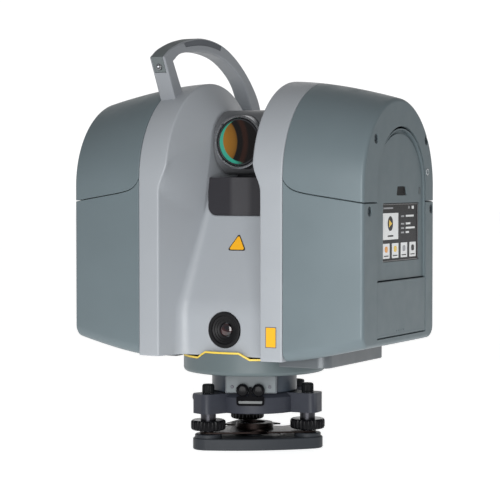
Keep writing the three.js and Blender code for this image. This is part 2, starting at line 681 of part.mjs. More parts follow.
function baseDisc() {
  const inner = DISC_RADIUS - DISC_WALL;
  const pan = turned([
    [SPINDLE_BORE, DISC_BOTTOM_Z], [DISC_RADIUS - DISC_EDGE[0], DISC_BOTTOM_Z],
    [DISC_RADIUS, DISC_BOTTOM_Z + DISC_EDGE[1]], [DISC_RADIUS, DISC_TOP_Z], [inner, DISC_TOP_Z],
    [inner, DISC_BOTTOM_Z + DISC_FLOOR], [SPINDLE_BORE, DISC_BOTTOM_Z + DISC_FLOOR],
  ], [0, 0], DISC_SIDES);
  const levels = [DISC_TOP_Z - 2, TAB_TOP_Z + 8];
  const tabs = ring('z', ...levels, DISC_RADIUS - TRIM.depth, DISC_RADIUS, [0, 0], DISC_SIDES);
  return union(pan, cut(tabs, aboveStep(DISC_TOP_Z, TAB_TOP_Z)));
}

function trimRing() {
  const levels = [DISC_TOP_Z - 1, TAB_TOP_Z + 8];
  const band = ring('z', ...levels, DISC_RADIUS - TRIM.depth, DISC_RADIUS + TRIM.out, [0, 0], DISC_SIDES);
  const above = GAP + TRIM.height;
  const upper = cut(band, aboveStep(DISC_TOP_Z + above, TAB_TOP_Z + above));
  return upper.intersect(aboveStep(DISC_TOP_Z + GAP, TAB_TOP_Z + GAP));
}

// The dark chassis: a deck inside the housing, with a block under the right-hand tower.
const BLOCK = { x: 120, y: 72, bottom: 91.5, top: 107, corner: 12 };
const DECK = { x: 81, y: 50, z: [99.3, 103.5] };
const LINK = { x: 74, half: 6, y: 48 };
const BLOCK_START_X = 66;
const BLOCK_SPAN = 80; // half depth that holds the block

function chassis() {
  const plan = roundedRectangle([0, BLOCK.x], [-BLOCK.y, BLOCK.y], BLOCK.corner);
  const block = slab('z', plan, BLOCK.bottom, BLOCK.top);
  const room = rod('z', DISC_BOTTOM_Z, DECK.z[0], DISC_RADIUS + 1.2, [0, 0], 40);
  const deck = box([-DECK.x, DECK.x], [-DECK.y, DECK.y], DECK.z);
  const links = [-LINK.x, LINK.x].map((x) =>
    box([x - LINK.half, x + LINK.half], [-LINK.y, LINK.y], [BLOCK.bottom + 3, DECK.z[1]]));
  const cover = tower(COVER_STATIONS, { inset: -GAP, offset: -SEAM, bottom: risingBottom });
  const between = [DISC_BOTTOM_Z, BLOCK.top + 1];
  const inner = box([-1, BLOCK_START_X], [-BLOCK_SPAN, BLOCK_SPAN], between);
  const posts = cut(union(...links), room);
  return cut(
    union(cut(block, room, inner, housingOutside(GAP), cover), deck, posts),
    rod('z', DISC_BOTTOM_Z, BLOCK.top + 10, SPINDLE_BORE),
  );
}

const BEARING_Z = [62.8, 76];
const ENCODER_Z = [76.6, 77.8];
const SPINDLE_FLANGE = { radius: 30, top: DECK.z[1] + 6 };
const CABLE_BORE = 11; // radius of the way for cables through the spindle

function azimuthSpindle() {
  const { radius, top } = SPINDLE_FLANGE;
  return cut(
    union(rod('z', BEARING_Z[0], top, SPINDLE_RADIUS), rod('z', DECK.z[1] + GAP, top, radius)),
    rod('z', BEARING_Z[0] - 3, top + 10, CABLE_BORE),
  );
}

const azimuthMotor = () => ring('z', DISC_BOTTOM_Z + DISC_FLOOR + GAP, DISC_TOP_Z - 1, 24, 58);
const azimuthEncoder = () => ring('z', ...ENCODER_Z, SPINDLE_RADIUS + GAP, 30);
const azimuthBearing = () => ring('z', ...BEARING_Z, SPINDLE_RADIUS + GAP, 31.6);

// ---------------------------------------------------------------- neck and cable sockets

const NECK_BORE = { radius: 32, floor: 62.3, cables: 12 };
const SPIGOT = { radius: 23.5, bottom: 44 };
const SOCKET_Z = 62.9;
const SOCKET_SPREAD = 8.3;
const PAD_FRONT = 42.5; // distance of the neck's flat pad from the vertical axis
const PAD_HALF = 27;
const SOCKET_PLATE = { half: 26, z: [59.5, 77], front: 44.6 };
const SOCKET = { radius: 5, x: [44.9, 50.5] };
const CAP = { radius: 6.5, x: [47.5, 53.5, 55], end: 5, bore: 5.3, floor: 50.8 };
const STRAP = { half: 14.5, z: [46.5, 56], x: [49.6, 51.6], width: 2 };

// Pieces at the sockets are drawn facing +X and then turned to their direction.
const atSockets = (body) => body.rotate([0, 0, SOCKET_ANGLE]);

function baseNeck() {
  const cylinder = rod('z', NECK_BOTTOM_Z, NECK_TOP_Z, NECK_RADIUS, [0, 0], 40);
  const width = [-PAD_HALF, PAD_HALF];
  const body = cut(cylinder, atSockets(box([PAD_FRONT, REACH], width, [0, NECK_TOP_Z + 20])));
  const pad = atSockets(box([20, PAD_FRONT], width, [NECK_BOTTOM_Z, NECK_TOP_Z - 1]));
  const spigot = rod('z', SPIGOT.bottom, NECK_BOTTOM_Z + 1, SPIGOT.radius);
  return cut(
    union(body, pad, spigot),
    rod('z', NECK_BORE.floor, NECK_TOP_Z + 10, NECK_BORE.radius),
    rod('z', SPIGOT.bottom - 4, NECK_BORE.floor + 8, NECK_BORE.cables),
  );
}

function connectorPlate() {
  const outline = roundedRectangle([-SOCKET_PLATE.half, SOCKET_PLATE.half], SOCKET_PLATE.z, 1);
  return atSockets(slab('x', outline, PAD_FRONT + GAP, SOCKET_PLATE.front, 2));
}

const connector = (side) =>
  atSockets(rod('x', ...SOCKET.x, SOCKET.radius, [side * SOCKET_SPREAD, SOCKET_Z], 20));

function connectorCap(side) {
  const centre = [side * SOCKET_SPREAD, SOCKET_Z];
  const [back, shoulder, front] = CAP.x;
  const outside = union(
    rod('x', back, shoulder, CAP.radius, centre, 20),
    rod('x', shoulder, front, CAP.radius, centre, 20, CAP.end),
  );
  return atSockets(cut(outside, rod('x', back - 1.5, CAP.floor, CAP.bore, centre, 20)));
}

function capStrap() {
  const { half, z, x, width } = STRAP;
  const outside = slab('x', roundedRectangle([-half, half], z, 1.5), ...x, 2);
  const inside = box([x[0] - 10, x[1] + 10], [width - half, half - width], [z[0] + width, z[1] - 1.5]);
  return atSockets(cut(outside, inside));
}

// ---------------------------------------------------------------- tribrach

// A triangle with round corners over the foot screws and sides that bulge outwards.
function bulgedTriangle(corner, spread) {
  const shape = new THREE.Shape();
  const reach = corner * Math.cos(radians(60 - spread)) + SCREW_CIRCLE / 2;
  const across = SCREW_CIRCLE * Math.cos(radians(30)) + corner * Math.sin(radians(60 - spread));
  const control = reach + across * Math.tan(radians(60 - spread));
  SCREW_ANGLES.forEach((angle, i) => {
    const [x, y] = polar(SCREW_CIRCLE, angle);
    const start = arcPoint(x, y, corner, angle - spread);
    if (i > 0) shape.quadraticCurveTo(...polar(control, angle - 60), ...start);
    shape.absarc(x, y, corner, radians(angle - spread), radians(angle + spread), false);
  });
  const [x, y] = polar(SCREW_CIRCLE, SCREW_ANGLES[0]);
  const start = arcPoint(x, y, corner, SCREW_ANGLES[0] - spread);
  shape.quadraticCurveTo(...polar(control, SCREW_ANGLES[0] - 60), ...start);
  return shape;
}

function arcPoint(x, y, radius, angle) {
  const [u, v] = polar(radius, angle);
  return [x + u, y + v];
}

const atScrews = (make) => SCREW_ANGLES.map((angle) => make(polar(SCREW_CIRCLE, angle)));

const BASE_CORNER = { radius: 16, spread: 45 };
const BOSS_RADIUS = 14;
const FOOT_SOCKET = { radius: 6, floor: 6 };
const SPRING_CORNER = { radius: 9, spread: 55 };
const SPRING_WINDOW = { radius: 11, distance: 34 };
const HUB = { radius: 20, bore: 12, top: 23.5 };
const SPINDLE = { radius: 5, bottom: 6.8, hole: 6.2, neck: 8 };

function tribrachBase() {
  const outline = bulgedTriangle(BASE_CORNER.radius, BASE_CORNER.spread);
  const plate = slab('z', outline, 0, BASE_TOP_Z, 4);
  const bosses = atScrews((centre) => rod('z', BASE_TOP_Z - 1, BOSS_TOP_Z, BOSS_RADIUS, centre, 16));
  const sockets = atScrews((centre) => rod('z', FOOT_SOCKET.floor, REACH, FOOT_SOCKET.radius, centre, 14));
  const thread = rod('z', -REACH, REACH, TRIPOD_THREAD_RADIUS, [0, 0], 16);
  return cut(union(plate, ...bosses), ...sockets, thread);
}

function springPlate() {
  const outline = bulgedTriangle(SPRING_CORNER.radius, SPRING_CORNER.spread);
  const plate = slab('z', outline, BOSS_TOP_Z + GAP, BOSS_TOP_Z + 2, 3);
  const holes = atScrews((centre) => rod('z', 0, REACH, SPINDLE.hole, centre, 14));
  const hub = rod('z', BASE_TOP_Z + GAP, HUB.top, HUB.radius, [0, 0], 28);
  const windows = SCREW_ANGLES.map((angle) =>
    rod('z', 0, REACH, SPRING_WINDOW.radius, polar(SPRING_WINDOW.distance, angle + 60), 16));
  return cut(union(plate, hub), ...holes, ...windows, rod('z', 0, REACH, HUB.bore, [0, 0], 28));
}

const KNURLS = 12;
const KNURL_DEPTH = 1.1;
const KNURL_PROFILE = [
  [0, KNOB_RADIUS],
  [0.5, KNOB_RADIUS],
  [0.62, KNOB_RADIUS - KNURL_DEPTH],
  [0.88, KNOB_RADIUS - KNURL_DEPTH],
];

function footScrew(centre) {
  const shape = new THREE.Shape();
  for (let k = 0; k < KNURLS; k++) {
    for (const [share, radius] of KNURL_PROFILE) {
      const [x, y] = polar(radius, 360 * (k + share) / KNURLS);
      if (k + share === 0) shape.moveTo(x + centre[0], y + centre[1]);
      else shape.lineTo(x + centre[0], y + centre[1]);
    }
  }
  return union(
    rod('z', SPINDLE.bottom, KNOB_Z[0] + 1, SPINDLE.radius, centre, 14),
    slab('z', shape, ...KNOB_Z),
    rod('z', KNOB_Z[1] - 1, PLATE_Z[0] - GAP, SPINDLE.neck, centre, 14),
    rod('z', PLATE_Z[0] - 1, PLATE_Z[1] - 0.5, SPINDLE.radius, centre, 14),
  );
}

const LEVEL = { angle: 65, distance: 56, radius: 9.5, lug: 10.5, wall: 2, height: 7 };
const LEVEL_CENTRE = polar(LEVEL.distance, LEVEL.angle);
const VIAL = { radius: 7.2, z: [PLATE_Z[1] + 2.6, PLATE_Z[1] + 6.4] };
const CLAMP = { angle: -175, z: 47.5 };
const CLAMP_STEM = { x: [40, 51], radius: 2.8, hole: 3.2 };
const CLAMP_COLLAR = { x: [49.6, 56], radius: 5.2 };
const CLAMP_WING = { x: [55, 70.5], half: 5, height: 3.6, corner: 2.5 };
const HEAD = { radius: 49, top: 44, shoulder: 4 };
const LOBE = { from: 30, half: 13.5, corner: 6 };
const SCREW_CAP = { radius: 6.5, shoulder: 6.2, end: 5.2, z: [8.5, 9.7] };

function tribrachPlate() {
  const [z0, z1] = PLATE_Z;
  const { radius, top, shoulder } = HEAD;
  const profile = [[BORE, z0], [radius, z0], [radius, z1 - shoulder], [top, z1], [BORE, z1]];
  const body = turned(profile, [0, 0], 32);
  const reach = [LOBE.from, SCREW_CIRCLE + LOBE.half];
  const outline = roundedRectangle(reach, [-LOBE.half, LOBE.half], LOBE.corner);
  const lobes = SCREW_ANGLES.map((angle) => spun(slab('z', outline, z0, z1, 2), angle));
  const lug = rod('z', z1 - LEVEL.height, z1, LEVEL.lug, LEVEL_CENTRE, 20);
  const bores = atScrews((centre) => rod('z', 0, z1 + REACH, SPINDLE.radius + 0.7, centre, 14));
  const stemHole = rod('x', CLAMP_STEM.x[0] - 2, REACH, CLAMP_STEM.hole, [0, CLAMP.z], 16);
  const core = rod('z', 0, z1 + REACH, BORE, [0, 0], 32);
  return cut(union(body, ...lobes, lug), ...bores, spun(stemHole, CLAMP.angle), core);
}

function footScrewCap(centre) {
  const [shoulder, top] = SCREW_CAP.z.map((height) => PLATE_Z[1] + height);
  return union(
    rod('z', PLATE_Z[1] + GAP, shoulder, SCREW_CAP.radius, centre, 16, SCREW_CAP.shoulder),
    rod('z', shoulder, top, SCREW_CAP.shoulder, centre, 16, SCREW_CAP.end),
  );
}

function clampKnob() {
  const { half, height, corner } = CLAMP_WING;
  const outline = roundedRectangle([-half, half], [CLAMP.z - height, CLAMP.z + height], corner);
  const wing = slab('x', outline, ...CLAMP_WING.x, 3);
  const collar = rod('x', ...CLAMP_COLLAR.x, CLAMP_COLLAR.radius, [0, CLAMP.z], 20);
  const stem = rod('x', ...CLAMP_STEM.x, CLAMP_STEM.radius, [0, CLAMP.z], 16);
  return spun(union(stem, collar, wing), CLAMP.angle);
}

function levelHousing() {
  const { radius, wall, height } = LEVEL;
  const z = PLATE_Z[1] + GAP;
  const inner = radius - wall;
  return turned([
    [0, z], [radius, z], [radius, z + height - 1], [radius - 0.9, z + height], [inner, z + height],
    [inner, z + wall], [0, z + wall],
  ], LEVEL_CENTRE, 20);
}

const levelVial = () => rod('z', ...VIAL.z, VIAL.radius, LEVEL_CENTRE, 20);

// ---------------------------------------------------------------- assembly

const finish = (color, roughness, metalness) => () =>
  new THREE.MeshStandardMaterial({ color, roughness, metalness });
const LIGHT_PAINT = finish(0xbcc4c8, 0.5, 0.1);
const SLATE_PAINT = finish(0x6f7c80, 0.6, 0.1);
const DARK_PAINT = finish(0x4a555e, 0.55, 0.1);
const BLACK_PAINT = finish(0x23272c, 0.5, 0.2);
const BLACK_PLASTIC = finish(0x121416, 0.4, 0);
const GLOSSY_BLACK = finish(0x1b1c20, 0.15, 0.1);
const YELLOW = finish(0xe8c63c, 0.5, 0);
const GRIP_RUBBER = finish(0x5d686b, 0.7, 0);
const STEEL = finish(0xa8abb0, 0.3, 0.9);
const BRONZE = finish(0x8a6f55, 0.4, 0.8);
const GLASS = finish(0x54382a, 0.05, 0.3);
const BOARD = finish(0x1e5a3a, 0.6, 0);
const WHITE = finish(0xe6e8ea, 0.4, 0);
const LIQUID = finish(0xa9d060, 0.1, 0);

const scanner = new THREE.Group();

function add(name, body, material) {
  const { numProp, vertProperties, triVerts } = body.getMesh();
  const geometry = new THREE.BufferGeometry();
  const points = new Float32Array(vertProperties.length / numProp * 3);
  for (let i = 0; i < points.length / 3; i++) {
    points.set(vertProperties.subarray(i * numProp, i * numProp + 3), i * 3);
  }
  geometry.setAttribute('position', new THREE.BufferAttribute(points, 3));
  geometry.setIndex(new THREE.BufferAttribute(triVerts, 1));
  geometry.computeVertexNormals();
  const mesh = new THREE.Mesh(geometry, material());
  mesh.name = name;
  scanner.add(mesh);
}

function addTribrach() {
  add('tribrach_base_plate', tribrachBase(), BLACK_PAINT);
  add('tribrach_spring_plate', springPlate(), BRONZE);
  add('tribrach_top_plate', tribrachPlate(), BLACK_PAINT);
  atScrews(footScrew).forEach((body, i) => add(`foot_screw_${i + 1}`, body, BLACK_PLASTIC));
  atScrews(footScrewCap).forEach((body, i) => add(`foot_screw_cap_${i + 1}`, body, BLACK_PLASTIC));
  add('tribrach_clamp_knob', clampKnob(), BLACK_PLASTIC);
  add('level_housing', levelHousing(), BLACK_PAINT);
  add('level_vial', levelVial(), LIQUID);
}

function addNeck() {
  add('base_neck', baseNeck(), DARK_PAINT);
  add('connector_plate', connectorPlate(), LIGHT_PAINT);
  [-1, 1].forEach((side, i) => {
    add(`connector_${i + 1}`, connector(side), STEEL);
    add(`connector_cap_${i + 1}`, connectorCap(side), BLACK_PLASTIC);
  });
  add('cap_strap', capStrap(), BLACK_PLASTIC);
  add('azimuth_bearing', azimuthBearing(), STEEL);
}

function addAlidade() {
  add('azimuth_spindle', azimuthSpindle(), STEEL);
  add('azimuth_encoder', azimuthEncoder(), GLASS);
  add('azimuth_motor', azimuthMotor(), BLACK_PAINT);
  add('base_disc', baseDisc(), SLATE_PAINT);
  add('trim_ring', trimRing(), YELLOW);
  add('chassis', chassis(), DARK_PAINT);
  add('main_housing', mainHousing(), LIGHT_PAINT);
  for (const [name, side] of [['left', -1], ['right', 1]]) {
    const [upper, lower] = covers(side);
    add(`${name}_upper_cover`, upper, SLATE_PAINT);
    add(`${name}_lower_cover`, lower, SLATE_PAINT);
  }
  add('camera_bezel', cameraBezel(), BLACK_PLASTIC);
  add('camera_lens', cameraLens(), GLASS);
  add('camera_body', cameraBody(), BLACK_PAINT);
  add('mirror_trough', mirrorTrough(), GLOSSY_BLACK);
  add('handle_frame', handleFrame(), LIGHT_PAINT);
  add('handle_grip', handleGrip(), GRIP_RUBBER);
  add('handle_screw', handleScrew(), STEEL);
}

function addSidePanel() {
  add('side_panel', sidePanel(), SLATE_PAINT);
  add('display_bezel', displayBezel(), BLACK_PLASTIC);
  add('display_screen', displayScreen(), GLOSSY_BLACK);
  add('panel_latch', panelLatch(), BLACK_PLASTIC);
  add('status_light', statusLight(), WHITE);
  add('power_button', powerButton(), WHITE);
  add('battery_door', batteryDoor(), SLATE_PAINT);
  add('door_hinge_pin', doorHingePin(), STEEL);
  add('battery_pack', batteryPack(), BLACK_PAINT);
  add('main_board', circuitBoard(MAIN_BOARD.x, MAIN_BOARD.z), BOARD);
  add('drive_board', circuitBoard(DRIVE_BOARD.x, DRIVE_BOARD.z), BOARD);
}

function addMirror() {
  add('mirror_drum', mirrorDrum(), BLACK_PAINT);
  add('window_ring', windowRing(), STEEL);
  add('window_glass', windowGlass(), GLASS);
  add('scan_mirror', scanMirror(), STEEL);
  add('mirror_mount', mirrorMount(), BLACK_PAINT);
  add('mirror_shaft', mirrorShaft(), STEEL);
  add('encoder_disc', encoderDisc(), GLASS);
  add('mirror_bearing', mirrorBearing(), STEEL);
  add('mirror_motor', mirrorMotor(), BLACK_PAINT);
  add('laser_module', laserModule(), BLACK_PAINT);
  add('laser_lens', laserLens(), GLASS);
}

addTribrach();
addNeck();
addAlidade();
addSidePanel();
addMirror();

export default scanner;
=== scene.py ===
import math

import bmesh
import bpy
from mathutils import Matrix, Vector


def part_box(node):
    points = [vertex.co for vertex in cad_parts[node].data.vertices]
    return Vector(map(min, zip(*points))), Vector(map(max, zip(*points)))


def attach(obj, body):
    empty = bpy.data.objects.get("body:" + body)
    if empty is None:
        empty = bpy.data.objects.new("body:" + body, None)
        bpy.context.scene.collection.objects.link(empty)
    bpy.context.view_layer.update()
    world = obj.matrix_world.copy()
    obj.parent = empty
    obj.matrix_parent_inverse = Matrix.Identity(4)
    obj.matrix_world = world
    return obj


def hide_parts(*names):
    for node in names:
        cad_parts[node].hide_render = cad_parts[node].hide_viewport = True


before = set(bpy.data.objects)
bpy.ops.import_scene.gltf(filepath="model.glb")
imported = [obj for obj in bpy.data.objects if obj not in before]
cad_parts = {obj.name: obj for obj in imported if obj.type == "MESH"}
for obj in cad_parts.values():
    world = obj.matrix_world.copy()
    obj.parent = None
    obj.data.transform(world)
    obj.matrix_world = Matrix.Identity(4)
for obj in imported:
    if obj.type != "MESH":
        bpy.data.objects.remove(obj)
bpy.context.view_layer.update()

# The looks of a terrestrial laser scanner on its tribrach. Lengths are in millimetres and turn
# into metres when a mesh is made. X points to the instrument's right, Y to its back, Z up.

MM = 0.001
SIDES = 96  # of a large round piece
TOUCHING = 1e-7  # metres between points that count as one


# ------------------------------------------------------------------ measures from the frame

def extent(node):
    """Lowest and highest corner of a CAD node, in millimetres."""
    low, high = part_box(node)
    return low / MM, high / MM


def middle(node):
    low, high = extent(node)
    return (low + high) / 2


HOUSING_LOW, HOUSING_HIGH = extent("main_housing")
RIM_X = HOUSING_HIGH.x
ARCH_RADIUS = HOUSING_HIGH.y
ARCH_CENTRE_Z = HOUSING_HIGH.z - ARCH_RADIUS
HOUSING_BOTTOM_Z = HOUSING_LOW.z
OUTER_X = extent("right_lower_cover")[1].x
DRUM_LOW, DRUM_HIGH = extent("mirror_drum")
DRUM_HALF = DRUM_HIGH.x
MIRROR_Z = (DRUM_LOW.z + DRUM_HIGH.z) / 2
DRUM_RADIUS = (DRUM_HIGH.z - DRUM_LOW.z) / 2
TROUGH_LOW, TROUGH_HIGH = extent("mirror_trough")
BEZEL_LOW, BEZEL_HIGH = extent("camera_bezel")
CAMERA_Z = middle("camera_bezel").z
CAMERA_RADIUS = (BEZEL_HIGH.x - BEZEL_LOW.x) / 2
BATTERY_DOOR_LOW, BATTERY_DOOR_HIGH = extent("battery_door")
SCREEN_LOW, SCREEN_HIGH = extent("display_screen")
PANEL_LOW, PANEL_HIGH = extent("side_panel")

# Shape of the towers
ARCH_X = 50  # inner edge of the rim
DOME_X = 33  # inner end of a dome
DOME_RADIUS = 34.5
STEP_X = 9  # how much wider the valley is below the step
STEP_Z = (271, 297)  # where the step begins and ends
STEP_EASE = 30  # how much further the step reaches up and down on the domes
CROWN = (0.00525, 0.00442, 1.6)  # loss of radius and of centre height, and power of the distance
RIM_EDGE = 1.3
SEAM = 0.4  # half of a visible joint line
COVER_RISE = 16  # of the cover's underside, from the rim to the outer face
COVER_CURVE = 1.3  # power of that rise
COVER_CORNER = 12
COVER_WALL = 3
COVER_EDGE = 3.2
SEAM_OUTER_Z = 258  # of the joint between the covers, at the outer face
SEAM_SLOPE = 0.15
SEAM_HOOK = (11.5, 6)  # height and length of its rise at the rim

# Column
COLUMN_FRONT = 67  # reach of the column from the axis, up to its crease
COLUMN_CREASE_Z = 148
COLUMN_TOP = 31  # its reach under the trough
COLUMN_TOP_Z = 243
COLUMN_FALL = (COLUMN_FRONT - COLUMN_TOP) / (COLUMN_TOP_Z - COLUMN_CREASE_Z)  # slope above the crease
COLUMN_CREASE_RADIUS = 60
COLUMN_FILLET = (16, 7)  # at the bottom and at the top
TROUGH_CORNER = 10
CAST_VOXEL = 0.9  # cell of the grid in which the light housing is melted into one

# Marks on the housing, in X and Z
TRIANGLE_PLACE = (2.5, 213)
RIM_PATCH_LOW, RIM_PATCH_HIGH = (65, 113), (77, 134)


# ------------------------------------------------------------------ outlines

def lerp(a, b, t):
    return a + (b - a) * t


def clamp(t):
    return max(0.0, min(1.0, t))


def smooth(t):
    return t * t * (3 - 2 * t)


def spread(a, b, count):
    """Evenly spaced values from a to b, both included."""
    return [lerp(a, b, i / (count - 1)) for i in range(count)]


def polar(radius, angle):
    return radius * math.cos(math.radians(angle)), radius * math.sin(math.radians(angle))


def arc(centre, radius, start, end, count):
    """Points of an arc, angles in degrees, both ends included."""
    return [(centre[0] + u, centre[1] + v)
            for u, v in (polar(radius, a) for a in spread(start, end, count))]


def circle(centre, radius, count=SIDES):
    return arc(centre, radius, 0, 360 * (1 - 1 / count), count)


def rounded(points, radius, steps=5, closed=True):
    """An outline with its corners rounded. radius is one number or one per corner."""
    radii = radius if isinstance(radius, (list, tuple)) else [radius] * len(points)
    made = []
    for i, (point, r) in enumerate(zip(points, radii)):
        inner = closed or 0 < i < len(points) - 1
        p = Vector(point)
        if not inner or r <= 0:
            made.append(tuple(p))
            continue
        a = Vector(points[i - 1]) - p
        b = Vector(points[(i + 1) % len(points)]) - p
        half = a.angle(b) / 2
        reach = min(r / math.tan(half), 0.49 * min(a.length, b.length))
        r = reach * math.tan(half)
        start = p + a.normalized() * reach
        end = p + b.normalized() * reach
        centre = p + (a.normalized() + b.normalized()).normalized() * (r / math.sin(half))
        for t in spread(0, 1, steps):
            v = (start - centre).lerp(end - centre, t)
            made.append(tuple(centre + v.normalized() * r))
    return made


def rectangle(u, v, radius=0, steps=5):
    corners = [(u[0], v[0]), (u[1], v[0]), (u[1], v[1]), (u[0], v[1])]
    return rounded(corners, radius, steps) if radius else corners


def grown(outline, amount):
    """A convex outline that runs counterclockwise, moved outwards."""
    count = len(outline)
    made = []
    for i in range(count):
        before, here, after = (Vector(outline[(i + k) % count]) for k in (-1, 0, 1))
        normals = [Vector((v.y, -v.x)).normalized() for v in (here - before, after - here) if v.length > 1e-9]
        if not normals:
            made.append(tuple(here))
            continue
        total = sum(normals, Vector((0, 0))).normalized()
        made.append(tuple(here + total * (amount / max(0.5, total.dot(normals[0])))))
    return made


# ------------------------------------------------------------------ meshes

PLACES = {
    "x": lambda u, v, w: (w, u, v),
    "y": lambda u, v, w: (v, w, u),
    "z": lambda u, v, w: (u, v, w),
}


def placed(name, data):
    """A new object in the scene."""
    body = bpy.data.objects.new(name, data)
    bpy.context.scene.collection.objects.link(body)
    return body


def filled(name, made):
    """A new object with the content of a bmesh, which is freed."""
    mesh = bpy.data.meshes.new(name)
    made.to_mesh(mesh)
    made.free()
    return placed(name, mesh)


def shape(name, points, faces):
    """An object from points in millimetres, with doubled points merged and faces turned outwards."""
    made = bmesh.new()
    verts = [made.verts.new(Vector(p) * MM) for p in points]
    for face in faces:
        made.faces.new([verts[i] for i in face])
    bmesh.ops.remove_doubles(made, verts=made.verts, dist=TOUCHING)
    bmesh.ops.dissolve_degenerate(made, edges=made.edges, dist=TOUCHING)
    bmesh.ops.recalc_face_normals(made, faces=made.faces)
    return filled(name, made)


def loft(name, rings, caps=True):
    """A skin over rings with the same number of points. caps closes both ends."""
    count = len(rings[0])
    points = [p for ring in rings for p in ring]
    faces = []
    for i in range(len(rings) - 1):
        for j in range(count):
            k = (j + 1) % count
            faces.append((i * count + j, i * count + k, (i + 1) * count + k, (i + 1) * count + j))
    if caps:
        faces.append(tuple(reversed(range(count))))
        faces.append(tuple(range((len(rings) - 1) * count, len(rings) * count)))
    return shape(name, points, faces)


def prism(name, outline, axis, start, end, chamfer=0):
    """A flat outline with thickness. Its coordinates are y z along x, z x along y, x y along z."""
    place = PLACES[axis]
    if not chamfer:
        return loft(name, [[place(u, v, w) for u, v in outline] for w in (start, end)])
    inner = grown(outline, -chamfer)
    levels = [(inner, start), (outline, start + chamfer), (outline, end - chamfer), (inner, end)]
    return loft(name, [[place(u, v, w) for u, v in line] for line, w in levels])


def turned(name, profile, axis="z", centre=(0, 0), sides=SIDES):
    """A body of revolution. profile is a list of (radius, position along the axis) and closes itself
    on the axis or, where it doesn't reach the axis, on its first point."""
    place = PLACES[axis]
    hollow = min(r for r, _ in profile) > 0
    line = [*profile, profile[0]] if hollow else profile
    rings = [[place(centre[0] + u, centre[1] + v, w) for u, v in circle((0, 0), max(r, 1e-6), sides)]
             for r, w in line]
    return loft(name, rings, caps=False)


def applied(body):
    """Bakes the modifiers of an object into its mesh."""
    graph = bpy.context.evaluated_depsgraph_get()
    mesh = bpy.data.meshes.new_from_object(body.evaluated_get(graph))
    old = body.data
    body.modifiers.clear()
    body.data = mesh
    bpy.data.meshes.remove(old)
    return body


def boolean(body, tools, operation="DIFFERENCE"):
    for tool in tools:
        change = body.modifiers.new("boolean", "BOOLEAN")
        change.operation = operation
        change.solver = "EXACT"
        change.object = tool
    applied(body)
    for tool in tools:
        bpy.data.objects.remove(tool)
    return body


def joined(name, bodies):
    """Several objects as one mesh, without merging them."""
    made = bmesh.new()
    for body in bodies:
        made.from_mesh(body.data)
        bpy.data.objects.remove(body)
    return filled(name, made)


def cast(body, voxel, rounds):
    """Melts overlapping closed bodies into one casting with soft edges."""
    remesh = body.modifiers.new("remesh", "REMESH")
    remesh.mode = "VOXEL"
    remesh.voxel_size = voxel * MM
    remesh.adaptivity = 0
    ease = body.modifiers.new("ease", "SMOOTH")
    ease.factor = 0.5
    ease.iterations = rounds
    return applied(body)


def softened(body, width=0.4, segments=2, angle=32):
    edge = body.modifiers.new("edge", "BEVEL")
    edge.width = width * MM
    edge.segments = segments
    edge.limit_method = "ANGLE"
    edge.angle_limit = math.radians(angle)
    edge.use_clamp_overlap = True
    return applied(body)


def mirrored(body, name):
    """A copy on the other side of the YZ plane."""
    made = bmesh.new()
    made.from_mesh(body.data)
    bmesh.ops.transform(made, matrix=Matrix.Scale(-1, 4, (1, 0, 0)), verts=made.verts)
    bmesh.ops.reverse_faces(made, faces=made.faces)
    return filled(name, made)


def spun(body, angle):
    """Turns a mesh that was drawn facing +X about the vertical axis, in degrees."""
    body.data.transform(Matrix.Rotation(math.radians(angle), 4, "Z"))
    return body


def dress(body, look):
    body.data.materials.clear()
    body.data.materials.append(look)


def piece(body, rides, look, slot=None, nodes=(), smooth_angle=35):
    """Makes an object a piece of the scanner."""
    mesh = body.data
    mesh.polygons.foreach_set("use_smooth", [True] * len(mesh.polygons))
    mesh.set_sharp_from_angle(angle=math.radians(smooth_angle))
    even = body.modifiers.new("even", "WEIGHTED_NORMAL")
    even.keep_sharp = True
    dress(applied(body), look)
    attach(body, rides)
    if nodes:
        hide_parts(*nodes)
    return body


# ------------------------------------------------------------------ materials

def material(name, colour, roughness, metallic=0.0, coat=0.0, emission=None, specular=0.5):
    """A new material and its Principled shader. Colours are linear."""
    made = bpy.data.materials.new(name)
    made.use_nodes = True
    shader = made.node_tree.nodes["Principled BSDF"]
    shader.inputs["Base Color"].default_value = (*colour, 1)
    shader.inputs["Roughness"].default_value = roughness
    shader.inputs["Metallic"].default_value = metallic
    shader.inputs["Coat Weight"].default_value = coat
    shader.inputs["Coat Roughness"].default_value = 0.08
    shader.inputs["Specular IOR Level"].default_value = specular
    if emission:
        shader.inputs["Emission Color"].default_value = (*colour, 1)
        shader.inputs["Emission Strength"].default_value = emission
    return made, shader


def wired(tree, kind, inputs, **settings):
    """A new shader node. An input is a value or the output of another node."""
    node = tree.nodes.new("ShaderNode" + kind)
    for key, value in settings.items():
        setattr(node, key, value)
    for key, value in inputs.items():
        if isinstance(value, bpy.types.NodeSocket):
            tree.links.new(value, node.inputs[key])
        else:
            node.inputs[key].default_value = value
    return node


def own_place(tree):
    """The object's own coordinates, in metres."""
    return tree.nodes.new("ShaderNodeTexCoord").outputs["Object"]


def noise(made, scale, detail=2.0, stretch=None):
    """A noise texture on the object's own coordinates. scale is in repeats per metre."""
    tree = made.node_tree
    source = own_place(tree)
    if stretch:
        source = wired(tree, "Mapping", {"Scale": stretch, "Vector": source}).outputs["Vector"]
    return wired(tree, "TexNoise", {"Scale": scale, "Detail": detail, "Vector": source}).outputs["Fac"]


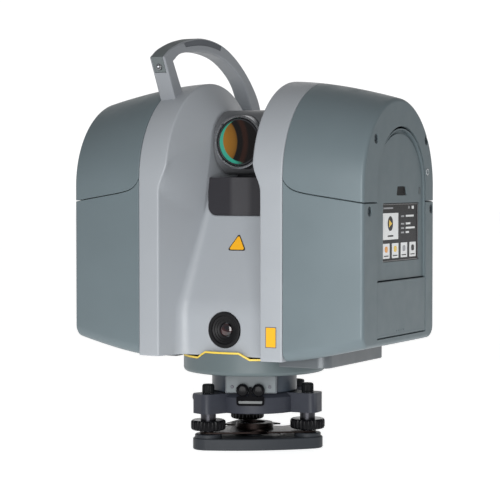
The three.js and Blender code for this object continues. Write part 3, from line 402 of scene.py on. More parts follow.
def ramp(made, value, stops):
    """Maps a value to colours or greys at the given positions."""
    tree = made.node_tree
    node = tree.nodes.new("ShaderNodeValToRGB")
    tree.links.new(value, node.inputs["Fac"])
    elements = node.color_ramp.elements
    while len(elements) < len(stops):
        elements.new(0.5)
    for element, (position, colour) in zip(elements, stops):
        element.position = position
        element.color = (*colour, 1) if isinstance(colour, tuple) else (colour, colour, colour, 1)
    return node.outputs["Color"]


def bumped(made, shader, height, strength, distance):
    tree = made.node_tree
    node = wired(tree, "Bump", {"Strength": strength, "Distance": distance * MM, "Height": height})
    tree.links.new(node.outputs["Normal"], shader.inputs["Normal"])


def mixed(tree, share, first, second):
    """A colour between an output and a fixed colour."""
    node = wired(tree, "Mix", {}, data_type="RGBA")
    tree.links.new(share, node.inputs["Factor"])
    tree.links.new(first, node.inputs["A"])
    node.inputs["B"].default_value = (*second, 1)
    return node.outputs["Result"]


def graded(tree, source, axis, span, values):
    """A value that runs between two others along a direction."""
    along = wired(tree, "VectorMath", {0: source, 1: axis}, operation="DOT_PRODUCT").outputs["Value"]
    return wired(tree, "MapRange", {"Value": along, "From Min": span[0], "From Max": span[1],
                                    "To Min": values[0], "To Max": values[1]}).outputs["Result"]


def shaded(colour, amount):
    return tuple(min(1.0, c * (1 + amount)) for c in colour)


def painted(name, colour, roughness, grain=1400, bump=0.10, vary=0.05, coat=0.0, metallic=0.0,
            wear=None, specular=0.5):
    """Paint or moulded plastic: fine grain, slow changes of tone and, on request, rubbed edges."""
    made, shader = material(name, colour, roughness, metallic, coat, specular=specular)
    tree = made.node_tree
    cloudy = noise(made, 14, 3)
    tone = ramp(made, cloudy, [(0.3, shaded(colour, -vary)), (0.7, shaded(colour, vary))])
    if wear:
        edges = ramp(made, tree.nodes.new("ShaderNodeNewGeometry").outputs["Pointiness"],
                     [(0.56, 0.0), (0.66, 1.0)])
        tone = mixed(tree, edges, tone, wear)
    tree.links.new(tone, shader.inputs["Base Color"])
    patchy = noise(made, 60, 4)
    tree.links.new(ramp(made, patchy, [(0.3, roughness - 0.05), (0.7, roughness + 0.06)]),
                   shader.inputs["Roughness"])
    bumped(made, shader, noise(made, grain, 2), bump, 0.12)
    return made


def brushed(name, colour, roughness, stretch):
    """Turned or brushed metal, with fine lines across the stretched axis."""
    made, shader = material(name, colour, roughness, 1.0)
    lines = noise(made, 900, 3, stretch)
    tree = made.node_tree
    tree.links.new(ramp(made, lines, [(0.3, roughness * 0.75), (0.7, roughness * 1.3)]),
                   shader.inputs["Roughness"])
    tree.links.new(ramp(made, lines, [(0.3, shaded(colour, -0.12)), (0.7, colour)]),
                   shader.inputs["Base Color"])
    bumped(made, shader, lines, 0.12, 0.05)
    return made


LIGHT_PAINT = painted("light_paint", (0.355, 0.378, 0.405), 0.42, vary=0.02, coat=0.05)
HANDLE_PAINT = painted("handle_paint", (0.275, 0.292, 0.315), 0.45, vary=0.03)
SLATE_PAINT = painted("slate_paint", (0.150, 0.190, 0.207), 0.42, vary=0.03, metallic=0.1, specular=0.35)
BASE_PAINT = painted("base_paint", (0.098, 0.128, 0.135), 0.45, vary=0.03)
DARK_PAINT = painted("dark_paint", (0.031, 0.041, 0.055), 0.4, vary=0.06)
CHASSIS_SATIN = painted("chassis_satin", (0.115, 0.128, 0.138), 0.34, vary=0.04, metallic=0.2)
BLACK_ANODISED = painted("black_anodised", (0.004, 0.005, 0.008), 0.42, 2600, 0.06, 0.08,
                         wear=(0.03, 0.034, 0.04), specular=0.22)
HEAD_PAINT = painted("head_paint", (0.032, 0.035, 0.046), 0.4, 2600, 0.06, 0.08,
                     wear=(0.06, 0.065, 0.075), specular=0.2)
LIGHT_PLATE = painted("light_plate", (0.098, 0.118, 0.128), 0.42, 1600, 0.06, 0.04)
# painted shade: the floor of the handle's side groove, darkened for the shade that falls in the recess
GROOVE_SHADE = painted("groove_shade", (0.105, 0.115, 0.13), 0.6, 1800, 0.2, 0.05)
MATTE_BLACK = painted("matte_black", (0.006, 0.006, 0.007), 0.5, 900, 0.08, 0.1, specular=0.25)
KNOB_GLOSS = painted("knob_gloss", (0.004, 0.004, 0.005), 0.2, 700, 0.04, 0.1, specular=0.12)
BLACK_PLASTIC = painted("black_plastic", (0.007, 0.008, 0.009), 0.42, 900, 0.12, 0.1, specular=0.1)
GLOSS_BLACK = painted("gloss_black", (0.02, 0.02, 0.024), 0.16, 500, 0.02, 0.05, coat=0.6)
GRIP_RUBBER = painted("grip_rubber", (0.135, 0.155, 0.160), 0.62, 1800, 0.25, 0.05)
YELLOW_TRIM = painted("yellow_trim", (0.78, 0.56, 0.075), 0.42, 1400, 0.06, 0.03)
LABEL_YELLOW = painted("label_yellow", (0.90, 0.44, 0.015), 0.35, 300, 0.02, 0.02)
LABEL_BLACK = painted("label_black", (0.012, 0.010, 0.007), 0.4, 300, 0.02, 0.02)
DRUM_METAL = painted("drum_metal", (0.15, 0.155, 0.165), 0.36, 1600, 0.05, 0.05, metallic=0.3)
STEEL = brushed("steel", (0.55, 0.56, 0.58), 0.26, (1, 1, 24))
RING_STEEL = brushed("ring_steel", (0.36, 0.37, 0.39), 0.28, (1, 24, 1))
DARK_STEEL = brushed("dark_steel", (0.06, 0.06, 0.068), 0.34, (1, 1, 24))
BRONZE = brushed("bronze", (0.020, 0.015, 0.014), 0.36, (1, 1, 12))
SCREW_GREY = painted("screw_grey", (0.022, 0.032, 0.040), 0.45, 2200, 0.06, 0.1, specular=0.3)
SCREW_BLACK = painted("screw_black", (0.02, 0.021, 0.024), 0.3, 2200, 0.06, 0.1, metallic=0.6)
TETHER_RUBBER = painted("tether_rubber", (0.002, 0.002, 0.003), 0.5, 900, 0.06, 0.1, specular=0.04)
TAG_GREY = painted("tag_grey", (0.11, 0.118, 0.12), 0.4, 900, 0.05, 0.05)
WHITE_PRINT = painted("white_print", (0.78, 0.8, 0.82), 0.5, 600, 0.02, 0.02)
CIRCUIT = painted("circuit", (0.015, 0.10, 0.045), 0.4, 700, 0.2, 0.35)
MODULE = painted("module", (0.03, 0.032, 0.037), 0.45, 1200, 0.1, 0.1)
MIRROR_COAT = material("mirror_coat", (0.85, 0.68, 0.42), 0.02, 1.0)[0]
SCREEN_DARK = material("screen_dark", (0.011, 0.011, 0.014), 0.25, coat=0.05, specular=0.2)[0]
SCREEN_HEADER = material("screen_header", (0.005, 0.005, 0.006), 0.25, coat=0.05, specular=0.25)[0]
SCREEN_WHITE = material("screen_white", (0.78, 0.80, 0.80), 0.2, coat=0.3, emission=0.10)[0]
SCREEN_GREY = material("screen_grey", (0.33, 0.34, 0.36), 0.2, coat=0.3)[0]
SCREEN_YELLOW = material("screen_yellow", (0.9, 0.58, 0.03), 0.2, coat=0.3)[0]
SCREEN_ORANGE = material("screen_orange", (0.85, 0.33, 0.02), 0.2, coat=0.3)[0]
VIAL_LIQUID = material("vial_liquid", (0.45, 0.72, 0.10), 0.08, coat=0.8)[0]
VIAL_BUBBLE = material("vial_bubble", (0.8, 0.9, 0.6), 0.05, coat=1.0)[0]


def distance(made, centre, reach):
    """Distance from a line along Y through X and Z, as a share of `reach`, both in millimetres."""
    tree = made.node_tree
    flat = wired(tree, "VectorMath", {0: own_place(tree), 1: (1, 0, 1)}, operation="MULTIPLY")
    middle_at = (centre[0] * MM, 0, centre[1] * MM)
    away = wired(tree, "VectorMath", {0: flat.outputs["Vector"], 1: middle_at},
                 operation="DISTANCE").outputs["Value"]
    return wired(tree, "Math", {0: away, 1: reach * MM}, operation="DIVIDE").outputs["Value"]


def coated_glass():
    """The scanning window: amber over the mirror, a painted green reflection of the coating in a crescent at
    its edge, dark elsewhere.
    """
    made, shader = material("coated_glass", (0.2, 0.1, 0.03), 0.05, coat=0.4, specular=0.3)
    tree = made.node_tree
    amber, dark, brown = (0.26, 0.115, 0.015), (0.005, 0.004, 0.004), (0.024, 0.009, 0.006)
    tone = ramp(made, distance(made, (-33.6, MIRROR_Z), 60), [
        (0.30, amber), (0.47, shaded(amber, -0.3)), (0.515, shaded(amber, -0.5)), (0.535, dark), (0.62, dark),
        (0.66, brown), (0.71, brown), (0.76, dark)])
    # painted reflection: a green crescent where the coating reflects light at the window's left edge
    reflection_crescent = ramp(made, distance(made, (3.7, MIRROR_Z + 2), 40), [(0.555, 0.0), (0.575, 1.0)])
    left = ramp(made, distance(made, (26, MIRROR_Z), 60), [(0.50, 0.0), (0.62, 1.0)])
    both = wired(tree, "Math", {0: reflection_crescent, 1: left}, operation="MULTIPLY").outputs["Value"]
    tree.links.new(mixed(tree, both, tone, (0.03, 0.30, 0.21)), shader.inputs["Base Color"])
    return made


def trough_paint():
    """Dark satin paint, lighter where the mirror throws light on it."""
    made, shader = material("trough_paint", (0.03, 0.03, 0.03), 0.5, specular=0.25)
    tree = made.node_tree
    across = graded(tree, own_place(tree), (1, 0, 0), (-DOME_X * MM, DOME_X * MM), (0, 1))
    tone = ramp(made, across, [(0.28, (0.028, 0.027, 0.032)), (0.36, (0.058, 0.057, 0.062)),
                               (0.60, (0.058, 0.057, 0.062)), (0.70, (0.034, 0.033, 0.037))])
    tree.links.new(tone, shader.inputs["Base Color"])
    bumped(made, shader, noise(made, 500, 2), 0.02, 0.1)
    return made


def lens_glass():
    """A small camera lens: nearly black with a violet and a brown bloom."""
    made, shader = material("lens_glass", (0.01, 0.008, 0.012), 0.04, coat=1.0)
    tone = ramp(made, noise(made, 90, 1), [(0.35, (0.006, 0.005, 0.008)), (0.65, (0.060, 0.014, 0.014))])
    made.node_tree.links.new(tone, shader.inputs["Base Color"])
    return made


WINDOW_GLASS = coated_glass()
TROUGH_PAINT = trough_paint()
LENS_GLASS = lens_glass()


# ------------------------------------------------------------------ tower sections

def crown(x):
    return max(0.0, x - ARCH_X) ** CROWN[2]


def section(x):
    """Radius and centre height of a tower's arch outside the rim's inner edge."""
    return ARCH_RADIUS - CROWN[0] * crown(x), ARCH_CENTRE_Z - CROWN[1] * crown(x)


def step_shift(z, ease=0.0):
    """How much wider the valley is at a height. ease widens the step, as it is on the domes."""
    middle_z = (STEP_Z[0] + STEP_Z[1]) / 2
    half = (STEP_Z[1] - STEP_Z[0]) / 2 + ease
    drop = clamp((middle_z + half - z) / (2 * half))
    return STEP_X * (drop + smooth(drop)) / 2


def housing_stations():
    """(x, radius, centre) from the dome's end over the rounded rim edge to the covers."""
    far = [(x, section(x)[0]) for x in (60, 67, 75, RIM_X - 0.5)]
    wall = [(lerp(DOME_X, ARCH_X, t), lerp(DOME_RADIUS, ARCH_RADIUS, t)) for t in spread(0, 0.9, 9)]
    radii = [*[0] * len(wall), RIM_EDGE, *[0] * len(far)]
    line = rounded([*wall, (ARCH_X, ARCH_RADIUS), *far], radii, 7, closed=False)
    made = []
    for x, radius in line:
        t = clamp((radius - DOME_RADIUS) / (ARCH_RADIUS - DOME_RADIUS))
        centre = lerp(MIRROR_Z, ARCH_CENTRE_Z, t) if x < ARCH_X + RIM_EDGE else section(x)[1]
        made.append((x, radius, centre))
    x, radius, centre = made[-1]
    return [*made, (RIM_X, radius - 0.5, centre)]


def housing_tower():
    levels = spread(0, 1, 52)
    rings = []
    for x, radius, centre in housing_stations():
        fade = clamp((RIM_X - x) / (RIM_X - ARCH_X))
        side = [(-radius, lerp(HOUSING_BOTTOM_Z, centre, t)) for t in levels]
        top = arc((0, centre), radius, 180, 0, 121)[1:-1]
        back = [(-y, z) for y, z in reversed(side)]
        ease = STEP_EASE * clamp((ARCH_RADIUS - 3 - radius) / (ARCH_RADIUS - DOME_RADIUS)) ** 0.6
        rings.append([(x + step_shift(z, ease) * fade, y, z) for y, z in [*side, *top, *back]])
    return loft("tower", rings)


WALL_RUN = Vector((ARCH_X - DOME_X, ARCH_RADIUS - DOME_RADIUS)).normalized()


def column_side(z, reach):
    """Half of the column's section at a height, from its middle to where it has run into a tower."""
    radius = lerp(*COLUMN_FILLET, clamp((z - HOUSING_BOTTOM_Z) / (COLUMN_TOP_Z - HOUSING_BOTTOM_Z)))
    edge = DOME_X + step_shift(z)
    height = reach + radius
    along = edge + ((height - DOME_RADIUS) * WALL_RUN.x - radius) / WALL_RUN.y
    wall_angle = -math.degrees(math.atan2(WALL_RUN.x, WALL_RUN.y))
    curve = arc((along, height), radius, -90, wall_angle, 15)
    flat = [(x, reach) for x in spread(0, along, 9)[:-1]]
    end = curve[-1]
    return [*flat, *curve, (end[0] + 8, end[1] + 1)]


def column():
    """The front and rear columns and the fillets that lead them into the towers."""
    over = 50  # beyond the top, to be cut off again
    line = rounded([(COLUMN_FRONT, HOUSING_BOTTOM_Z), (COLUMN_FRONT, COLUMN_CREASE_Z),
                    (COLUMN_TOP - COLUMN_FALL * over, COLUMN_TOP_Z + over)],
                   [0, COLUMN_CREASE_RADIUS, 0], 12, closed=False)
    heights = sorted({HOUSING_BOTTOM_Z, *(z for _, z in line), *spread(160, line[-1][1], 22)})
    rings = []
    for z in heights:
        reach = next(lerp(a[0], b[0], (z - a[1]) / (b[1] - a[1]))
                     for a, b in zip(line, line[1:]) if z <= b[1] + 1e-6)
        half = column_side(z, reach)
        front = [(-x, -y) for x, y in reversed(half)] + [(x, -y) for x, y in half[1:]]
        back = [(-x, -y) for x, y in front]
        rings.append([(x, y, z) for x, y in [*front, *back]])
    body = loft("column", rings)
    opening = rectangle((COLUMN_TOP_Z, 400), (-DOME_X - 6.5, DOME_X + 6.5), TROUGH_CORNER, 9)
    valley = prism("valley", opening, "y", -150, 150)
    pocket = turned("pocket", [(0, -80), (CAMERA_RADIUS + 0.3, -80), (CAMERA_RADIUS + 0.3, -59), (0, -59)],
                    "y", (CAMERA_Z, 0))
    return boolean(body, [valley, pocket])


def main_housing():
    right = housing_tower()
    left = mirrored(right, "tower_left")
    body = cast(joined("light_housing", [right, left, column()]), CAST_VOXEL, 3)
    piece(body, "alidade", LIGHT_PAINT, "light_housing", ["main_housing"], 50)


# ------------------------------------------------------------------ covers

def cover_bottom(x):
    share = max(0.0, x - RIM_X) / (OUTER_X - RIM_X)
    return HOUSING_BOTTOM_Z + COVER_RISE * share ** COVER_CURVE


def seam_z(x):
    return SEAM_OUTER_Z + SEAM_SLOPE * (OUTER_X - x) + SEAM_HOOK[0] * math.exp((RIM_X - x) / SEAM_HOOK[1])


def cover_ring(x, inset, seam_inset, upper):
    radius, centre = section(x)
    radius -= inset
    seam = seam_z(x) + (SEAM + seam_inset if upper else -SEAM - seam_inset)
    notch = 0.5
    if upper:
        side = [(-radius + notch, seam), *[(-radius, z) for z in spread(seam + notch, centre, 8)]]
        top = arc((0, centre), radius, 180, 0, 97)[1:-1]
        outline = [*side, *top, *[(-y, z) for y, z in reversed(side)]]
    else:
        bottom = cover_bottom(x) + inset
        corner = max(1.0, COVER_CORNER - inset)
        side = [(-radius + notch, seam), *[(-radius, z) for z in spread(seam - notch, bottom + corner, 16)]]
        curve = arc((-radius + corner, bottom + corner), corner, 180, 270, 12)[1:]
        floor = [(y, bottom) for y in spread(-radius + corner, 0, 6)[1:]]
        half = [*side, *curve, *floor]
        outline = [*half, *[(-y, z) for y, z in reversed(half[:-1])]]
    chord = [(y, seam) for y in spread(radius - notch, -radius + notch, 12)[1:-1]]
    return [(x, y, z) for y, z in [*outline, *chord]]


def stations(near, far):
    """X positions, closer together at the rim."""
    return [lerp(near, far, t ** 1.8) for t in spread(0, 1, 18)]


def cover(upper):
    start = RIM_X + SEAM
    inside = [cover_ring(x, COVER_WALL, COVER_WALL, upper)
              for x in reversed(stations(start, OUTER_X - COVER_WALL))]
    lip = [cover_ring(start, 0.5, 0.3, upper), cover_ring(start + 0.5, 0, 0, upper)]
    skin = [cover_ring(x, 0, 0, upper) for x in stations(start + 1.5, OUTER_X - COVER_EDGE)]
    edge = []
    for angle in spread(0, 90, 8)[1:]:
        out, inset = polar(COVER_EDGE, angle)[1], COVER_EDGE - polar(COVER_EDGE, angle)[0]
        edge.append(cover_ring(OUTER_X - COVER_EDGE + out, inset, 0.5 * inset / COVER_EDGE, upper))
    return loft("upper_cover" if upper else "lower_cover", [*inside, *lip, *skin, *edge])


PANEL_Y = (PANEL_LOW.y + PANEL_HIGH.y) / 2
PANEL_HALF = (PANEL_HIGH.y - PANEL_LOW.y) / 2
PANEL_ARCH_Z = PANEL_HIGH.z - PANEL_HALF
PANEL_X = OUTER_X - 2.7
OPENING_GAP = 0.3  # around the panel, to the edge of the cover's opening
OPENING_BOTTOM_Z = BATTERY_DOOR_LOW.z - 0.7
COVER_SCREWS = [(-59.5, 321.5), (69, 322), (-75, 249.7), (82.5, 250)]
BUTTON = middle("power_button")
BUTTON_RADIUS = 3.6


def panel_outline(grow, bottom):
    half = PANEL_HALF + grow
    return [(PANEL_Y - half, bottom - grow), (PANEL_Y + half, bottom - grow),
            *arc((PANEL_Y, PANEL_ARCH_Z), half, 0, 180, 61)]


def rod(name, axis, start, end, radius, centre, sides=32):
    return turned(name, [(0, start), (radius, start), (radius, end), (0, end)], axis, centre, sides)


def covers():
    for upper, level in ((True, "upper"), (False, "lower")):
        for side in ("left", "right"):
            tools = [rod("recess", "x", OUTER_X - 2, OUTER_X + 2, 5, centre) for centre in COVER_SCREWS
                     if (centre[1] > SEAM_OUTER_Z) == upper]
            if side == "right":
                outline = panel_outline(OPENING_GAP, OPENING_BOTTOM_Z)
                tools.append(prism("opening", outline, "x", OUTER_X - 12, OUTER_X + 2))
                if upper:
                    tools.append(rod("button_hole", "x", OUTER_X - 8, OUTER_X + 2, BUTTON_RADIUS + 0.3,
                                     (BUTTON.y, BUTTON.z)))
            body = softened(boolean(cover(upper), tools), 0.5)
            if side == "left":
                whole = body
                body = mirrored(whole, "mirrored")
                bpy.data.objects.remove(whole)
            body.name = f"{side}_{level}_shell"
            piece(body, "alidade", SLATE_PAINT, "slate_cover", [f"{side}_{level}_cover"])


def screw(name, axis, centre, face, radius, depth, look, rides, sign=1):
    """A socket-head screw whose head ends at `face` and whose shank runs to `face - sign * depth`."""
    half = radius * 0.5
    steps = [(0, radius * 0.55), (half, radius * 0.55), (half, 0), (radius - 0.3, 0), (radius, 0.25),
             (radius, radius * 0.8), (half, radius * 0.8), (half, depth), (0, depth)]
    return piece(turned(name, [(r, face - sign * w) for r, w in steps], axis, centre, 36), rides, look)


def cover_screws():
    face = OUTER_X - 0.9
    for i, centre in enumerate(COVER_SCREWS, 1):
        for side, sign in (("right", 1), ("left", -1)):
            screw(f"cover_screw_{side}_{i}", "x", centre, sign * face, 4.6, 2.9, SCREW_GREY, "alidade", sign)


# ------------------------------------------------------------------ side panel and display

LATCH_FLANGE = 2
LATCH_TAPER = 2.6
LATCH_LOW, LATCH_HIGH = extent("panel_latch")
LIGHT = middle("status_light")
COLLAR_SHIFT = (0.6, 1.3)  # of the panel's collar to the front, at its front and at its back
COLLAR_DROP = 1.6  # of its top
COLLAR_X = OUTER_X - 0.6  # outer face of the collar
GROOVE_TOP = 4.2  # width of the groove along the panel's arch, at the top and at the sides
GROOVE_SIDE = 1.3


def trapezoid(grow=0.0):
    more = grow - LATCH_FLANGE
    low_y, high_y = LATCH_LOW.y - more, LATCH_HIGH.y + more
    low_z, high_z = LATCH_LOW.z - more, LATCH_HIGH.z + more
    corners = [(low_y, low_z), (high_y, low_z), (high_y - LATCH_TAPER, high_z), (low_y + LATCH_TAPER, high_z)]
    return rounded(corners, 1.2, 4)


def arch_share(z):
    """0 below the panel's arch and 1 at its top."""
    return clamp((z - PANEL_ARCH_Z) / PANEL_HALF)


def collar_line(grow, bottom, foot):
    """The arch of the panel's collar. It leaves a gap to the cover that opens towards the top right."""
    line = []
    for y, z in panel_outline(grow, bottom):
        shift = lerp(*COLLAR_SHIFT, clamp((y - PANEL_Y) / (2 * PANEL_HALF) + 0.5)) * clamp((z - foot) / 40)
        line.append((y - shift, z - COLLAR_DROP * arch_share(z)))
    return line


def panel_bowl(bottom):
    """The hollow of the sunk panel."""
    return prism("bowl", collar_line(-1.7, bottom - 2.7, bottom), "x", PANEL_X - 0.02, OUTER_X + 1)


def panel_groove(bottom):
    """A crescent along the panel's arch, deeper than its floor and widest at the top."""
    edge = [(y, z) for y, z in collar_line(-1.7, bottom, bottom) if z >= PANEL_ARCH_Z]
    scale = (PANEL_HALF - GROOVE_SIDE) / PANEL_HALF
    inner = [(PANEL_Y + (y - PANEL_Y) * scale, z - GROOVE_TOP * arch_share(z)) for y, z in edge]
    return prism("reflection_crescent", edge + inner[::-1], "x", PANEL_X - 2.4, PANEL_X + 0.05)


def screen_area(grow, radius):
    """The display's outline, enlarged by `grow`."""
    return rectangle((SCREEN_LOW.y - grow, SCREEN_HIGH.y + grow),
                     (SCREEN_LOW.z - grow, SCREEN_HIGH.z + grow), radius)


def side_panel():
    bottom = PANEL_LOW.z
    outline = [(y, max(z, bottom)) for y, z in collar_line(-0.5, bottom, bottom)]
    front = prism("panel", outline, "x", PANEL_X - 3, PANEL_X)
    tall = prism("collar", outline, "x", PANEL_X - 2.5, COLLAR_X)
    body = boolean(boolean(front, [tall], "UNION"), [panel_bowl(bottom)])
    holes = {"screen": screen_area(1.8, 1.5), "latch": trapezoid(0.25),
             "light": rectangle((LIGHT.y - 2.7, LIGHT.y + 2.7), (LIGHT.z - 3.7, LIGHT.z + 3.7), 1)}
    tools = [panel_groove(bottom), *[prism(f"{name}_hole", line, "x", PANEL_X - 5, PANEL_X + 2)
                                     for name, line in holes.items()]]
    body = softened(boolean(body, tools), 0.35)
    body.name = "panel_shell"
    piece(body, "alidade", SLATE_PAINT, "slate_cover", ["side_panel"])


def display():
    face = PANEL_X - 1.6
    border = prism("display_frame", screen_area(1.5, 1.4), "x", PANEL_X - 8, PANEL_X - 0.9)
    inner = prism("inner", screen_area(0, 0.6), "x", PANEL_X - 3.3, PANEL_X + 1)
    piece(softened(boolean(border, [inner]), 0.3), "alidade", GLOSS_BLACK, "black_plastic", ["display_bezel"])
    glass = prism("display_glass", screen_area(-0.1, 0.5), "x", PANEL_X - 3.2, face, 0.1)
    piece(glass, "alidade", SCREEN_DARK, "screen_glass", ["display_screen"])

    def place(u, v):
        """A point from its shares of the screen's width and height."""
        return lerp(SCREEN_LOW.y, SCREEN_HIGH.y, u), lerp(SCREEN_LOW.z, SCREEN_HIGH.z, v)

    def symbol(name, points, look, level):
        """A flat patch of the picture. A higher level lies on top of a lower one."""
        piece(prism(name, points, "x", face - 0.1, face + 0.06 + 0.05 * level), "alidade", look)

    def tile(name, u, v, look, level=0, radius=0.5):
        symbol(name, rectangle(*zip(place(u[0], v[0]), place(u[1], v[1])), radius), look, level)

    tile("header", (0, 1), (0.88, 1), SCREEN_HEADER)
    tile("header_mark", (0.03, 0.30), (0.925, 0.955), SCREEN_GREY, 1)
    tile("header_signal", (0.74, 0.78), (0.92, 0.965), SCREEN_GREY, 1)
    tile("header_battery", (0.84, 0.90), (0.915, 0.97), SCREEN_WHITE, 1)
    tile("start_tile", (0.0, 0.45), (0.37, 0.85), SCREEN_WHITE, 0)
    disc = [place(0.225 + 0.075 * u, 0.66 + 0.135 * v) for u, v in circle((0, 0), 1, 40)]
    symbol("start_disc", disc, SCREEN_HEADER, 1)
    symbol("start_arrow", [place(0.19, 0.73), place(0.19, 0.59), place(0.275, 0.66)], SCREEN_YELLOW, 2)
    tile("start_bar", (0.15, 0.31), (0.42, 0.45), SCREEN_HEADER, 1)
    for i, (end, v) in enumerate([(0.9, 0.77), (0.80, 0.63), (0.93, 0.55), (0.76, 0.47)]):
        tile(f"info_key_{i + 1}", (0.53, 0.62), (v, v + 0.03), SCREEN_GREY, 0, 0)
        tile(f"info_value_{i + 1}", (0.67, end), (v, v + 0.035), SCREEN_WHITE, 0, 0)
    looks = [SCREEN_ORANGE, SCREEN_YELLOW, SCREEN_GREY, SCREEN_HEADER]
    for i, look in enumerate(looks):
        left = 0.02 + 0.252 * i
        tile(f"menu_tile_{i + 1}", (left, left + 0.185), (0.03, 0.30), SCREEN_WHITE, 0)
        tile(f"menu_mark_{i + 1}", (left + 0.05, left + 0.135), (0.14, 0.25), look, 1, 2.2)
        tile(f"menu_bar_{i + 1}", (left + 0.03, left + 0.155), (0.065, 0.085), SCREEN_HEADER, 1, 0)


def panel_details():
    latch = boolean(prism("latch_key", trapezoid(), "x", PANEL_X - 4, PANEL_X - 0.8, 0.35),
                    [prism("under", trapezoid(2), "x", PANEL_X - 6, PANEL_X - 4 + 0.01)], "UNION")
    centre_y = middle("panel_latch").y
    across = (centre_y - 8, centre_y + 8)
    grooves = [prism("groove", rectangle(across, (z, z + 0.8)), "x", PANEL_X - 1.3, PANEL_X)
               for z in (267.1, 269, 270.9)]
    piece(boolean(latch, grooves), "panel_latch", MATTE_BLACK, "black_plastic", ["panel_latch"])
    light = rectangle((LIGHT.y - 2.4, LIGHT.y + 2.4), (LIGHT.z - 3.4, LIGHT.z + 3.4), 0.9)
    piece(prism("status_window", light, "x", PANEL_X - 6, PANEL_X + 0.3, 0.3), "alidade", LIGHT_PLATE,
          "light_white", ["status_light"])
    r = BUTTON_RADIUS
    cap = [(0, -9.5), (5.2, -9.5), (5.2, -8), (1.6, -8), (1.6, -4), (r, -4), (r, 0), (r - 0.4, 0.38),
           (r * 0.6, 0.3), (0, 0.15)]
    ring = [(2.75, 0.2), (2.75, 0.39), (3.35, 0.39), (3.35, 0.2)]
    parts = [turned(name, [(radius, OUTER_X + x) for radius, x in profile], "x", (BUTTON.y, BUTTON.z), 48)
             for name, profile in (("button_cap", cap), ("button_print", ring))]
    piece(parts[0], "power_button", SLATE_PAINT, "light_white", ["power_button"])
    piece(parts[1], "power_button", WHITE_PRINT)


BARREL_RADIUS, BARREL_BORE = 2.7, 1.3
DOTS_Y, DOTS_Z = (-7, 10), 127.5  # row of four dots low on the door


def battery_door():
    low, high = BATTERY_DOOR_LOW, BATTERY_DOOR_HIGH
    pin_low, pin_high = extent("door_hinge_pin")
    pivot = ((pin_low.z + pin_high.z) / 2, (pin_low.x + pin_high.x) / 2)
    outline = rectangle((low.y, high.y), (pivot[0], high.z), 1.2)
    plate = prism("door_leaf", outline, "x", OUTER_X - 3, OUTER_X - 0.4, 0.4)
    barrel = rod("barrel", "y", low.y, high.y, BARREL_RADIUS, pivot, 48)
    bore = rod("bore", "y", low.y - 5, high.y + 5, BARREL_BORE, pivot)
    body = boolean(boolean(plate, [barrel], "UNION"), [bore])
    tools = [rod("dot", "x", OUTER_X - 1.4, OUTER_X + 1, 0.9, (y, DOTS_Z)) for y in spread(*DOTS_Y, 4)]
    piece(boolean(body, tools), "battery_door", SLATE_PAINT, "slate_cover", ["battery_door"])


# ------------------------------------------------------------------ column, camera and labels

def camera():
    y = BEZEL_LOW.y
    steps = [(7.3, 6), (8.6, 6), (10.2, 5.2), (10.4, 4.3), (12.2, 3.6), (12.4, 2.6), (14.2, 2), (14.5, 0.9),
             (15.2, 0.2), (17.3, 0), (CAMERA_RADIUS - 0.3, 0.3), (CAMERA_RADIUS, 0.9)]
    profile = [*[(r, y + depth) for r, depth in steps], (CAMERA_RADIUS, BEZEL_HIGH.y), (7.3, BEZEL_HIGH.y)]
    ring = turned("camera_ring", profile, "y", (CAMERA_Z, 0))
    piece(ring, "alidade", MATTE_BLACK, "gloss_black", ["camera_bezel"])
    front, back = extent("camera_lens")[0].y, extent("camera_lens")[1].y
    bulge = [(7 * math.sin(a), front + 2.2 * (1 - math.cos(a))) for a in spread(0, 1.2, 9)]
    body = turned("lens_element", [*bulge, (7, back), (0, back)], "y", (CAMERA_Z, 0))
    piece(body, "alidade", LENS_GLASS, "optic_glass", ["camera_lens"])


def labels():
    """A blank triangle on the column and a blank patch on the right rim."""
    x, z = TRIANGLE_PLACE
    front = COLUMN_FRONT - COLUMN_FALL * (z - COLUMN_CREASE_Z)
    place = Matrix.Translation(Vector((x, -front, z)) * MM) @ Matrix.Rotation(-math.atan(COLUMN_FALL), 4, "X")
    for name, reach, thick, look in (("triangle_edge", 12.6, 0.35, LABEL_BLACK),
                                     ("triangle_patch", 10.6, 0.5, LABEL_YELLOW)):
        corners = rounded([polar(reach, a) for a in (90, 210, 330)], reach * 0.13, 5)
        body = loft(name, [[(u, -w, v) for u, v in corners] for w in (-1.2, thick)])
        body.data.transform(place)
        piece(body, "alidade", look)
    for name, margin, proud, look in (("rim_border", 0, 0.25, LIGHT_PLATE),
                                      ("rim_patch", 0.8, 0.4, LABEL_YELLOW)):
        low, high = RIM_PATCH_LOW[1] + margin, RIM_PATCH_HIGH[1] - margin
        rings = []
        for x in spread(RIM_PATCH_LOW[0] + margin, RIM_PATCH_HIGH[0] - margin, 9):
            front = -section(x)[0] - proud
            rings.append([(x, front, low), (x, front, high), (x, front + 2, high), (x, front + 2, low)])
        piece(loft(name, rings), "alidade", look)


def mirror_trough():
    """The dark floor between the domes, with the sweep of the drum in it and a lip at its rear."""
    low, high = TROUGH_LOW, TROUGH_HIGH
    ring_low, ring_high = extent("window_ring")
    sweep = math.hypot(ring_low.y, (ring_high.x - ring_low.x) / 2) + 1
    angle = math.degrees(math.acos(clamp((MIRROR_Z - high.z) / sweep)))
    curve = arc((0, MIRROR_Z), sweep, -90 + angle, -90 - angle, 40)
    rear_y, rear_z = high.y + 11, high.z + 6
    lip = [(high.y, low.z + 16), (rear_y, rear_z - 15), (rear_y, rear_z), (rear_y - 3, rear_z)]
    outline = [(low.y, low.z), (high.y, low.z), *lip,
               *[p for p in curve if p[1] < high.z - 0.01 and abs(p[0]) < high.y], (low.y, high.z)]
    half = DOME_X + STEP_X
    body = prism("trough", outline, "x", -half, half)
    corner = rectangle((low.z, 400), (-DOME_X - 6.2, DOME_X + 6.2), TROUGH_CORNER, 9)
    piece(boolean(body, [prism("limit", corner, "y", -60, 60)], "INTERSECT"), "alidade", TROUGH_PAINT,
          "gloss_black", ["mirror_trough"])


